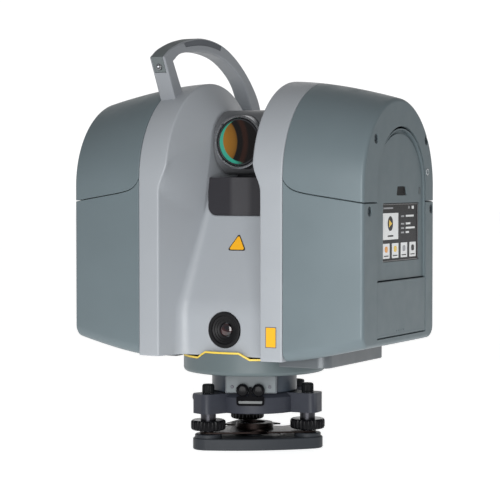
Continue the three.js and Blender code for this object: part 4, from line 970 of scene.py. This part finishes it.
# ------------------------------------------------------------------ mirror

BEZEL_SCREW_ANGLES = (135, 225)


def mirror():
    ring_low, ring_high = extent("window_ring")
    ring_radius = (ring_high.x - ring_low.x) / 2
    edge = 1.6
    half, r = DRUM_HALF, DRUM_RADIUS
    profile = [(7.3, -half), (r - edge, -half), (r - 0.5, -half + 0.5), (r, -half + edge), (r, half - edge),
               (r - 0.5, half - 0.5), (r - edge, half), (19, half), (19, half - 3), (r - 3, half - 3),
               (r - 3, -half + 3), (7.3, -half + 3)]
    drum = turned("drum_shell", profile, "x", (0, MIRROR_Z), 128)
    window = rod("window", "y", -50, 0, ring_radius + 0.3, (MIRROR_Z, 0), 64)
    face = prism("face", rectangle((MIRROR_Z - 60, MIRROR_Z + 60), (-60, 60)), "y", -60, ring_low.y + 4.6)
    drum = softened(boolean(drum, [window, face]), 0.4)
    piece(drum, "mirror", DRUM_METAL, "tribrach_black", ["mirror_drum"])
    front, back = ring_low.y, ring_high.y
    wall = ring_radius - 3.2
    profile = [(wall, back), (wall, front + 3), (wall + 0.3, front + 1), (wall + 1.2, front),
               (ring_radius - 0.7, front), (ring_radius, front + 0.7), (ring_radius, back)]
    bezel = turned("window_bezel", profile, "y", (MIRROR_Z, 0), 128)
    piece(bezel, "mirror", RING_STEEL, "steel", ["window_ring"])
    for number, angle in enumerate(BEZEL_SCREW_ANGLES, 1):
        u, v = polar(ring_radius - 2, angle)
        screw(f"bezel_screw_{number}", "y", (MIRROR_Z + v, u), front - 0.12, 1.1, 3, SCREW_BLACK, "mirror", -1)
    low, high = extent("window_glass")
    radius = (high.x - low.x) / 2
    profile = [(0, low.y), (radius - 0.6, low.y), (radius, low.y + 0.6), (radius, high.y), (0, high.y)]
    pane = turned("window_pane", profile, "y", (MIRROR_Z, 0), 128)
    piece(pane, "mirror", WINDOW_GLASS, "optic_glass", ["window_glass"])
    retainer = rectangle((radius - 1.6, radius - 0.1), (low.y - 0.8, low.y - 0.02))
    piece(turned("window_retainer", retainer, "y", (MIRROR_Z, 0), 128), "mirror", GLOSS_BLACK)


# ------------------------------------------------------------------ handle

def spline(points, count):
    """A smooth curve through points, evenly divided by length."""
    known = [Vector(p) for p in points]
    known = [2 * known[0] - known[1], *known, 2 * known[-1] - known[-2]]
    fine = []
    for a, b, c, d in zip(known, known[1:], known[2:], known[3:]):
        for t in spread(0, 1, 25)[:-1]:
            fine.append(0.5 * (2 * b + (c - a) * t + (2 * a - 5 * b + 4 * c - d) * t * t
                               + (3 * b - a - 3 * c + d) * t ** 3))
    fine.append(known[-2])
    lengths = [0.0]
    for a, b in zip(fine, fine[1:]):
        lengths.append(lengths[-1] + (b - a).length)
    made, i = [], 0
    for goal in spread(0, lengths[-1], count):
        while i < len(lengths) - 2 and lengths[i + 1] < goal:
            i += 1
        t = (goal - lengths[i]) / max(1e-9, lengths[i + 1] - lengths[i])
        made.append(fine[i].lerp(fine[i + 1], clamp(t)))
    return made


HANDLE_LOW, HANDLE_HIGH = extent("handle_frame")
HANDLE_X = (HANDLE_LOW.x + HANDLE_HIGH.x) / 2
HANDLE_HALF = (HANDLE_HIGH.x - HANDLE_LOW.x) / 2
HANDLE_CORNER = 2.2
KNEE = ((-78, 408), (-58.5, 404.5))  # outer and inner corner at the front, in Y and Z
HANDLE_TOE = (-52, 355)  # front of the handle's foot
GROOVE_Y = (-42, 47)  # of the groove along the handle's side
HANDLE_OUTER = [KNEE[0], (-61, 418), (-28, 428), (10, 432), (55, 425), (98, 403), (132, 370.8), (141.2, 341),
                (133, 308), (96, 272)]
HANDLE_INNER = [KNEE[1], (-39.3, 413.8), (10, 417.2), (52.7, 411), (87, 395), (106, 376), (120, 345),
                (112, 318), (86, 296)]


def handle_sections():
    """Pairs of an outer and an inner point along the handle, from the front foot to the rear one."""
    foot = [(Vector((-48, 349)).lerp(Vector(KNEE[0]), t), Vector((-24, 349)).lerp(Vector(KNEE[1]), t))
            for t in spread(0, 1, 9)[:-1]]
    outer, inner = spline(HANDLE_OUTER, 58), spline(HANDLE_INNER, 58)
    return [*foot, *zip(outer, inner)]


def handle_frame():
    rings = []
    for outer, inner in handle_sections():
        across = inner - outer
        flat = rectangle((0, across.length), (-HANDLE_HALF, HANDLE_HALF), HANDLE_CORNER)
        along = across.normalized()
        rings.append([(HANDLE_X + v, outer.x + along.x * u, outer.y + along.y * u) for u, v in flat])
    return loft("handle_bow", rings)


GRIP_LOW, GRIP_HIGH = extent("handle_grip")


def grip_outline(depth, margin):
    end = GRIP_HIGH.y + margin
    foot = GRIP_LOW.z
    front = lerp(KNEE[0][0], HANDLE_TOE[0], (KNEE[0][1] - foot) / (KNEE[0][1] - HANDLE_TOE[1]))
    top = spline([(end, 427.5 - depth), (10, 431.8 - depth), (-28, 427.8 - depth),
                  (-60 + depth / 2, 417.2 - depth), (-76 + depth, 408.5 - depth / 2)], 24)
    outer = [(front - 4, foot - margin), (-84, 411), (-61, 423), (-28, 433), (10, 437), (end, 433)]
    return [*outer, *top, (front + depth, foot - margin)]


def side_groove(from_x, to_x, near, far):
    """A band along the handle's side, between two shares of its height."""
    pairs = [(outer, inner) for outer, inner in handle_sections()
             if GROOVE_Y[0] < outer.x < GROOVE_Y[1] and outer.y > KNEE[0][1]]
    outline = [a.lerp(b, near) for a, b in pairs] + [a.lerp(b, far) for a, b in reversed(pairs)]
    return prism("side_band", outline, "x", from_x, to_x)


def handle():
    bow = handle_frame()
    grip = placed("grip_insert", bow.data.copy())
    groove = prism("groove", grip_outline(4.3, 0.4), "x", HANDLE_X - 7, HANDLE_X + 7)
    side = HANDLE_X + HANDLE_HALF
    bow = boolean(bow, [groove, side_groove(side - 1.2, side + 1, 0.10, 0.52)])
    piece(softened(bow, 0.35, 2, 50), "alidade", HANDLE_PAINT, "light_housing", ["handle_frame"])
    boolean(grip, [prism("band", grip_outline(4, 0), "x", HANDLE_X - 6.7, HANDLE_X + 6.7)], "INTERSECT")
    # the groove's floor, painted dark as shade in the recess
    piece(side_groove(side - 1.4, side - 0.8, 0.09, 0.53), "alidade", GROOVE_SHADE)
    bolt = middle("handle_screw")
    hole = rod("hole", "y", -95, -50, 3.3, (bolt.z, HANDLE_X))
    piece(softened(boolean(grip, [hole]), 0.3, 2, 50), "alidade", GRIP_RUBBER, "grip", ["handle_grip"])
    front = extent("handle_screw")[0].y
    fixing = screw("grip_screw", "y", (bolt.z, HANDLE_X), front, 3, 12, STEEL, "alidade", -1)
    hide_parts("handle_screw")


# ------------------------------------------------------------------ base of the alidade

DISC_LOW, DISC_HIGH = extent("base_disc")
DISC_RADIUS = DISC_HIGH.x
DISC_TOP_Z = 95.2
TAB = (19.5, 30.5)  # half width of the raised front, at its top and at its foot


def step_tool(name, low, high, top=140):
    """Everything above a line that steps up over the middle of the disc's front and back."""
    narrow, wide = TAB
    line = rounded([(-95, low), (-wide, low), (-narrow, high), (narrow, high), (wide, low), (95, low)],
                   2.5, 5, closed=False)
    outline = [(z, x) for x, z in line] + [(top, 95), (top, -95)]
    return prism(name, outline, "y", -110, 110)


def base_disc():
    low, r = DISC_LOW.z, DISC_RADIUS
    tab_z = DISC_HIGH.z
    profile = [(18.4, low), (r - 3.4, low), (r - 2.2, low + 0.3), (r - 0.9, low + 1.3), (r - 0.2, low + 2.8),
               (r, low + 4), (r, tab_z + 4), (r - 3, tab_z + 4), (r - 3, low + 6), (18.4, low + 6)]
    body = turned("base_pan", profile, sides=160)
    body = boolean(body, [step_tool("above", DISC_TOP_Z, tab_z)])
    piece(softened(body, 0.3), "alidade", BASE_PAINT, "base_paint", ["base_disc"])
    outer = extent("trim_ring")[1].x
    band = turned("trim_band", rectangle((r - 2.1, outer), (DISC_TOP_Z - 1, 112)), sides=160)
    thick = 2.1
    keep = boolean(step_tool("keep", DISC_TOP_Z + 0.2, tab_z + 0.2),
                   [step_tool("above", DISC_TOP_Z + thick, tab_z + thick, 150)])
    band = boolean(band, [keep], "INTERSECT")
    piece(softened(band, 0.25), "alidade", YELLOW_TRIM, "yellow_trim", ["trim_ring"])


PLATE_ANGLE = -67  # direction in which the connector plate faces
NECK_BOTTOM_Z = 58.6
FLAT_X = 42.5  # distance of the neck's flat from the axis
CONNECTORS = [(-8.3, 62.9), (8.3, 62.9)]  # centres on the plate, sideways and in height
PLATE_SCREWS = [(-19.5, 65.5), (19.5, 65.5)]


def neck():
    low, high = extent("base_neck")
    radius = high.x
    profile = [(23, low.z), (23, NECK_BOTTOM_Z), (radius - 1, NECK_BOTTOM_Z), (radius, NECK_BOTTOM_Z + 1),
               (radius, high.z - 1), (radius - 0.6, high.z), (32, high.z), (32, 62.3), (12, 62.3), (12, low.z)]
    flat = prism("flat", rectangle((-27, 27), (0, 100)), "x", FLAT_X, 60)
    pad = prism("pad", rectangle((-27, 27), (NECK_BOTTOM_Z, high.z - 0.6), 1), "x", 33, FLAT_X)
    body = boolean(turned("neck_body", profile, sides=128), [spun(flat, PLATE_ANGLE)])
    body = boolean(body, [spun(pad, PLATE_ANGLE)], "UNION")
    piece(softened(body, 0.4), "tribrach", DARK_PAINT, "dark_chassis", ["base_neck"])


def connectors():
    def add(body, look, slot=None, nodes=(), rides="tribrach"):
        piece(spun(body, PLATE_ANGLE), rides, look, slot, nodes)

    plate = prism("socket_plate", rectangle((-26, 26), (59.5, 77), 1.6), "x", FLAT_X + 0.3, FLAT_X + 2.1, 0.4)
    add(plate, LIGHT_PLATE, "light_housing", ["connector_plate"])
    head = [(0, 44), (1.7, 44), (1.7, 45.1), (1.4, 45.4), (0.8, 45.4), (0.8, 44.9), (0, 44.9)]
    for i, centre in enumerate(PLATE_SCREWS, 1):
        add(turned(f"plate_screw_{i}", head, "x", centre, 24), DARK_STEEL)
    cap = [(0, 55), (3.6, 54.9), (5.2, 54.4), (6.1, 53.4), (6.5, 52), (6.5, 48.2), (6.2, 47.5), (5.3, 47.5),
           (5.3, 50.8), (0, 50.8)]
    shell = [(3.6, 45), (5, 45), (5, 50.5), (4.2, 50.5), (4.2, 46.5), (3.6, 46.5)]
    for i, centre in enumerate(CONNECTORS, 1):
        node = f"connector_cap_{i}"
        add(turned(f"dust_cap_{i}", cap, "x", centre, 64), KNOB_GLOSS, "black_plastic", [node], node)
        add(turned(f"socket_{i}", shell, "x", centre, 48), STEEL, "steel", [f"connector_{i}"])


def tether():
    """The strap of the dust caps: a loop around a tag, and a black web that rises between the caps, partly the
    strap's web and partly a painted shadow of the caps.
    """
    outside = rounded([(-14.5, 56), (-14.5, 46.5), (14.5, 46.5), (14.5, 56)], [0.8, 3, 3, 0.8], 6)
    inside = rounded([(-12.5, 60), (-12.5, 48.5), (12.5, 48.5), (12.5, 60)], [0, 1.5, 1.5, 0], 6)
    strap = boolean(prism("cap_tether", outside, "x", 49.6, 51.6), [prism("gap", inside, "x", 40, 60)])
    strap = softened(spun(strap, PLATE_ANGLE), 0.3)
    piece(strap, "tribrach", TETHER_RUBBER, "black_plastic", ["cap_strap"])
    # black web between the caps: partly rubber web, partly painted shadow cast by the caps
    right = [(12.6, 51.4), (12.6, 56.2), (2.6, 56.2), (1.5, 58.5), (1.5, 66)]
    web_and_shade = prism("tether_web_and_shade", [*right, *[(-y, z) for y, z in reversed(right)]], "x", 49.9, 51.3)
    piece(spun(web_and_shade, PLATE_ANGLE), "tribrach", TETHER_RUBBER)
    tag = prism("tether_tag", rectangle((-12.4, 12.4), (48.6, 52), 1, 3), "x", 49.8, 50.6)
    piece(spun(tag, PLATE_ANGLE), "tribrach", TAG_GREY)


DECK_Z = (99.3, 103.5)
BLOCK_TOP_Z = 98.7  # under the housing; it follows the covers further out
BLOCK_START_X = 66


def chassis():
    """A deck inside the housing with a block under the right-hand tower."""
    low, high = extent("chassis")
    start, end = RIM_X + 0.5, high.x + 5

    def room():
        return rod("room", "z", 70, DECK_Z[0], DISC_RADIUS + 1.2, (0, 0), 96)

    block = prism("block", rectangle((0, high.x), (low.y, high.y), 12, 9), "z", low.z, 108, 0.9)
    rise = [(cover_bottom(x) - 0.3, x) for x in spread(start, end, 10)]
    above = [(BLOCK_TOP_Z, -1), (BLOCK_TOP_Z, start), *rise, (150, end), (150, -1)]
    inner = prism("inner", rectangle((-1, BLOCK_START_X), (-90, 90)), "z", 70, 120)
    block = softened(boolean(block, [room(), prism("above", above, "y", -90, 90), inner]), 0.3)
    deck = boolean(prism("deck", rectangle((low.x, -low.x), (-50, 50)), "z", *DECK_Z),
                   [rod("bore", "z", 70, 120, 18.4, (0, 0), 64)])
    links = [boolean(prism("link", rectangle((x - 6, x + 6), (-48, 48)), "z", low.z + 3, DECK_Z[1]), [room()])
             for x in (-74, 74)]
    body = joined("chassis_block", [block, deck, *links])
    piece(body, "alidade", CHASSIS_SATIN, "dark_chassis", ["chassis"])


# ------------------------------------------------------------------ tribrach

SCREW_ANGLES = (-115, 5, 125)
SCREW_CIRCLE = 60.5
SCREW_CENTRES = [polar(SCREW_CIRCLE, a) for a in SCREW_ANGLES]
BASE_TOP_Z = 12
PLATE_Z = [corner.z for corner in extent("tribrach_top_plate")]
CLAMP_ANGLE = -175
CLAMP_Z = 47.5
LOBE_HALF = 13.5  # of a block around a foot screw


def bulged(corner, spread_angle):
    """A triangle with round corners over the foot screws and sides that bulge outwards."""
    turn = math.radians(60 - spread_angle)
    reach = corner * math.cos(turn) + SCREW_CIRCLE / 2
    across = SCREW_CIRCLE * math.cos(math.radians(30)) + corner * math.sin(turn)
    control = reach + across * math.tan(turn)
    corners = [arc(centre, corner, angle - spread_angle, angle + spread_angle, 16)
               for centre, angle in zip(SCREW_CENTRES, SCREW_ANGLES)]
    line = []
    for i, angle in enumerate(SCREW_ANGLES):
        start, end = Vector(corners[i][-1]), Vector(corners[(i + 1) % 3][0])
        pull = Vector(polar(control, angle + 60))
        line += corners[i] + [start.lerp(pull, t).lerp(pull.lerp(end, t), t) for t in spread(0, 1, 14)[1:-1]]
    return line


def tribrach_base():
    plate = prism("foot_plate", bulged(16, 45), "z", 0, BASE_TOP_Z, 0.8)
    boss = [(0, 8), (14, 8), (14, 15.2), (13.2, 16), (0, 16)]
    body = boolean(plate, [turned("boss", boss, "z", c, 64) for c in SCREW_CENTRES], "UNION")
    holes = [rod("hole", "z", 6, 30, 6, c, 40) for c in SCREW_CENTRES]
    bore = rod("thread_bore", "z", -5, 30, 7.94, (0, 0), 48)
    dish = [(0, 30), (34, 30), (34, 11.6), (31, 11.2), (31, 10.4), (28, 10.2), (28, 9.4), (0, 9.4)]
    body = boolean(boolean(body, [*holes, bore]), [turned("dish", dish)])
    piece(softened(body, 0.3), "tribrach", BLACK_ANODISED, "tribrach_black", ["tribrach_base_plate"])


def spring_plate():
    plate = prism("spring_leaf", bulged(9, 55), "z", 16.3, 18, 0.15)
    ribs = [(r, 13 + 2 * k + dz) for k in range(5) for r, dz in ((20, 0), (20, 1.2), (19.2, 1.4), (19.2, 1.8))]
    hub = turned("hub", [(12, 12.3), (19.2, 12.3), *ribs, (19.2, 23.5), (12, 23.5)], sides=64)
    holes = [rod("hole", "z", 0, 40, 6.2, c, 40) for c in SCREW_CENTRES]
    windows = [rod("window", "z", 0, 40, 11, polar(34, a + 60), 48) for a in SCREW_ANGLES]
    body = boolean(plate, [rod("middle", "z", 0, 40, 13, (0, 0), 48), *holes, *windows])
    piece(joined("spring_disc", [body, hub]), "tribrach", BRONZE, "bronze", ["tribrach_spring_plate"])


def ribbed(radius, depth, ribs, centre, steps):
    """The outline of a knob with rounded ribs."""
    made = []
    for k in range(ribs * steps):
        wave = 0.5 + 0.5 * math.cos(2 * math.pi * k / steps)
        u, v = polar(radius - depth * (1 - wave ** 0.6), 360 * k / (ribs * steps))
        made.append((centre[0] + u, centre[1] + v))
    return made


def ribbed_body(name, levels, ribs, centre, steps=8):
    """A knob from (radius, height, depth of the ribs) at each level."""
    return loft(name, [[(u, v, z) for u, v in ribbed(r, depth, ribs, centre, steps)]
                       for r, z, depth in levels])


def foot_screws():
    low, high = 20, 30.5
    knob = [(16.4, low, 0), (17.6, low + 0.8, 0.6), (18.2, low + 2.2, 1.1), (18.2, high - 2.2, 1.1),
            (17.6, high - 0.8, 0.6), (16.4, high, 0)]
    stem = [(0, 6.8), (4.4, 6.8), (5, 7.4), (5, 20.2), (8, 20.4), (8, 37.2), (5, 37.2), (5, 57.5), (0, 57.5)]
    tip = [(4.9, 16.3), (5.9, 16.3), (5.9, 17.6), (4.9, 18)]
    z = PLATE_Z[1] + 0.3
    cap = [(6.0, z, 0.2), (6.5, z + 0.5, 0.35), (6.4, z + 7.6, 0.35), (5.9, z + 8.7, 0.15), (5.2, z + 9.4, 0),
           (3.0, z + 9.4, 0), (2.6, z + 7.2, 0)]
    for number, centre in enumerate(SCREW_CENTRES, 1):
        rides = f"foot_screw_{number}"
        piece(ribbed_body(f"knob_{number}", knob, 24, centre), rides, KNOB_GLOSS, "black_plastic", [rides])
        piece(turned(f"spindle_{number}", stem, "z", centre, 48), rides, DARK_STEEL, "steel")
        piece(turned(f"pivot_{number}", tip, "z", centre, 48), rides, STEEL)
        piece(ribbed_body(f"screw_cap_{number}", cap, 20, centre, 6), "tribrach", BLACK_PLASTIC,
              "black_plastic", [f"foot_screw_cap_{number}"])


def tribrach_plate():
    z0, z1 = PLATE_Z
    profile = [(24, z0), (48.2, z0), (49, z0 + 0.8), (49, z1 - 4), (48.6, z1 - 3.4), (44.4, z1 - 0.3),
               (43.6, z1), (24, z1)]
    body = turned("head_plate", profile, sides=128)
    side = rectangle((-LOBE_HALF, LOBE_HALF), (z0 + 0.01, z1 - 0.01))
    lobes = [spun(prism("lobe", side, "x", 30, SCREW_CIRCLE + LOBE_HALF), a) for a in SCREW_ANGLES]
    for lobe in lobes:
        bevel_vertical(lobe, 8)
    level_at = middle("level_housing")
    lug = rod("lug", "z", z1 - 7, z1 - 0.02, 10.5, (level_at.x, level_at.y), 48)
    body = boolean(body, [*lobes, lug], "UNION")
    bores = [rod("bore", "z", 0, 90, 5.7, c, 40) for c in SCREW_CENTRES]
    clamp_bore = spun(rod("clamp_bore", "x", 38, 60, 3.2, (0, CLAMP_Z)), CLAMP_ANGLE)
    body = boolean(body, [*bores, clamp_bore, rod("core", "z", 0, 90, 24, (0, 0), 96)])
    piece(softened(body, 0.6), "tribrach", HEAD_PAINT, "tribrach_black", ["tribrach_top_plate"])


def bevel_vertical(body, width):
    """Rounds the upright edges of a block."""
    made = bmesh.new()
    made.from_mesh(body.data)
    upright = [e for e in made.edges if abs((e.verts[0].co - e.verts[1].co).normalized().z) > 0.99]
    bmesh.ops.bevel(made, geom=upright, offset=width * MM, segments=7, profile=0.5, affect="EDGES")
    made.to_mesh(body.data)
    made.free()


def clamp_knob():
    centre = (0, CLAMP_Z)
    wing = prism("lock_knob", rectangle((-5, 5), (CLAMP_Z - 3.6, CLAMP_Z + 3.6), 2.5, 7), "x", 55, 70.5, 0.8)
    profile = [(0, 49.6), (4.6, 49.6), (5.2, 50.2), (5.2, 55.4), (4.6, 56), (0, 56)]
    collar = turned("collar", profile, "x", centre, 48)
    body = boolean(wing, [collar, rod("stem", "x", 40, 51, 2.8, centre)], "UNION")
    body = spun(body, CLAMP_ANGLE)
    piece(body, "clamp_knob", BLACK_PLASTIC, "black_plastic", ["tribrach_clamp_knob"])


def bubble_level():
    at = middle("level_housing")
    z = PLATE_Z[1] + 0.3
    cup = [(0, z), (9, z), (9.5, z + 0.5), (9.5, z + 5.8), (8.8, z + 6.8), (8.3, z + 7), (7.5, z + 7),
           (7.5, z + 2), (0, z + 2)]
    bottom, top = (corner.z for corner in extent("level_vial"))
    vial = [(0, bottom), (7.1, bottom), (7.1, top - 0.6), (5.5, top - 0.15), (0, top)]
    ring = [(2.9, top - 0.1), (2.9, top + 0.15), (3.2, top + 0.15), (3.2, top - 0.1)]
    bubble = [(0, top - 0.2), (2.1, top - 0.1), (1.4, top + 0.15), (0, top + 0.22)]
    for name, profile, sides, look, *known in (
            ("level_cup", cup, 64, BLACK_ANODISED, "tribrach_black", ["level_housing"]),
            ("level_glass", vial, 64, VIAL_LIQUID, "vial", ["level_vial"]),
            ("level_ring", ring, 48, LABEL_BLACK),
            ("level_bubble", bubble, 32, VIAL_BUBBLE)):
        piece(turned(name, profile, "z", (at.x, at.y), sides), "tribrach", look, *known)


# ------------------------------------------------------------------ pieces carried over from CAD

CARRIED_OVER = [
    (STEEL, ["azimuth_bearing", "azimuth_spindle", "door_hinge_pin", "mirror_shaft", "mirror_bearing"]),
    (MODULE, ["azimuth_motor", "camera_body", "battery_pack", "mirror_motor", "laser_module"]),
    (LENS_GLASS, ["azimuth_encoder", "encoder_disc", "laser_lens"]),
    (CIRCUIT, ["main_board", "drive_board"]),
    (MIRROR_COAT, ["scan_mirror"]),
    (BLACK_ANODISED, ["mirror_mount"]),
]


# ------------------------------------------------------------------ stage

AZIMUTH, PITCH = math.radians(27.886), math.radians(2.241)
CAMERA_PLACE = (0.93359, -1.77437, 0.28467)  # in metres, like everything in this section
FOCAL_LENGTH, SENSOR_WIDTH = 136.27, 36
BACKWARD = Vector((-math.sin(AZIMUTH), math.cos(AZIMUTH), 0))  # to the studio's bright wall
FLOOR_NEAR, FLOOR_FAR, FLOOR_HALF = 0.37, 14, 9  # reach from the axis to the front, the back and the sides
FLOOR_GLOW = 0.85
WALL_EDGE = (0.65, 0.96)  # cosine of the angle to BACKWARD at which the wall begins and is full
WALL_LIGHT = (0.22, 1.08)  # strength of the studio's light there
LAMP_PLACE = (0.45, -1.10, 0.25)
LAMP_SIZE = 0.8
LAMP_POWER = 12.5


def aimed(name, data, location, direction):
    body = placed(name, data)
    body.location = location
    body.rotation_mode = "QUATERNION"
    body.rotation_quaternion = direction.to_track_quat("-Z", "Y")
    return body


def floor():
    """A pale table that runs far back from its front edge."""
    made, shader = material("floor_paint", (0.86, 0.86, 0.86), 0.7, emission=FLOOR_GLOW)
    tree = made.node_tree
    tree.links.new(ramp(made, noise(made, 3, 2), [(0.3, 0.85), (0.7, 0.88)]), shader.inputs["Base Color"])
    side = Vector((BACKWARD.y, -BACKWARD.x, 0)) * FLOOR_HALF
    front, back = -BACKWARD * FLOOR_NEAR, BACKWARD * FLOOR_FAR
    mesh = bpy.data.meshes.new("floor")
    mesh.from_pydata([front - side, front + side, back + side, back - side], [], [(0, 1, 2, 3)])
    mesh.materials.append(made)
    placed("floor", mesh)


def studio():
    """One soft lamp at the front right, and surroundings with a bright wall behind the scanner."""
    world = bpy.data.worlds.new("studio")
    world.use_nodes = True
    nodes = world.node_tree.nodes
    around = nodes.new("ShaderNodeTexCoord").outputs["Generated"]
    bright = graded(world.node_tree, around, BACKWARD, WALL_EDGE, WALL_LIGHT)
    nodes["Background"].inputs["Color"].default_value = (1, 1, 1, 1)
    world.node_tree.links.new(bright, nodes["Background"].inputs["Strength"])
    bpy.context.scene.world = world
    lamp = bpy.data.lights.new("key", "AREA")
    lamp.shape = "SQUARE"
    lamp.size = LAMP_SIZE
    lamp.energy = LAMP_POWER
    centre = Vector((0, 0, LAMP_PLACE[2]))
    aimed("key", lamp, LAMP_PLACE, centre - Vector(LAMP_PLACE))
    bpy.context.scene.view_settings.view_transform = "Standard"


def camera_view():
    data = bpy.data.cameras.new("camera")
    data.lens = FOCAL_LENGTH
    data.sensor_width = SENSOR_WIDTH
    forward = BACKWARD * math.cos(PITCH) - Vector((0, 0, math.sin(PITCH)))
    bpy.context.scene.camera = aimed("camera", data, CAMERA_PLACE, forward)


# ------------------------------------------------------------------ assembly

camera_view()
floor()
studio()
main_housing()
covers()
cover_screws()
side_panel()
display()
panel_details()
battery_door()
camera()
labels()
mirror_trough()
mirror()
handle()
base_disc()
chassis()
neck()
connectors()
tether()
tribrach_base()
spring_plate()
foot_screws()
tribrach_plate()
clamp_knob()
bubble_level()
for look, carried in CARRIED_OVER:
    for node in carried:
        dress(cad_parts[node], look)
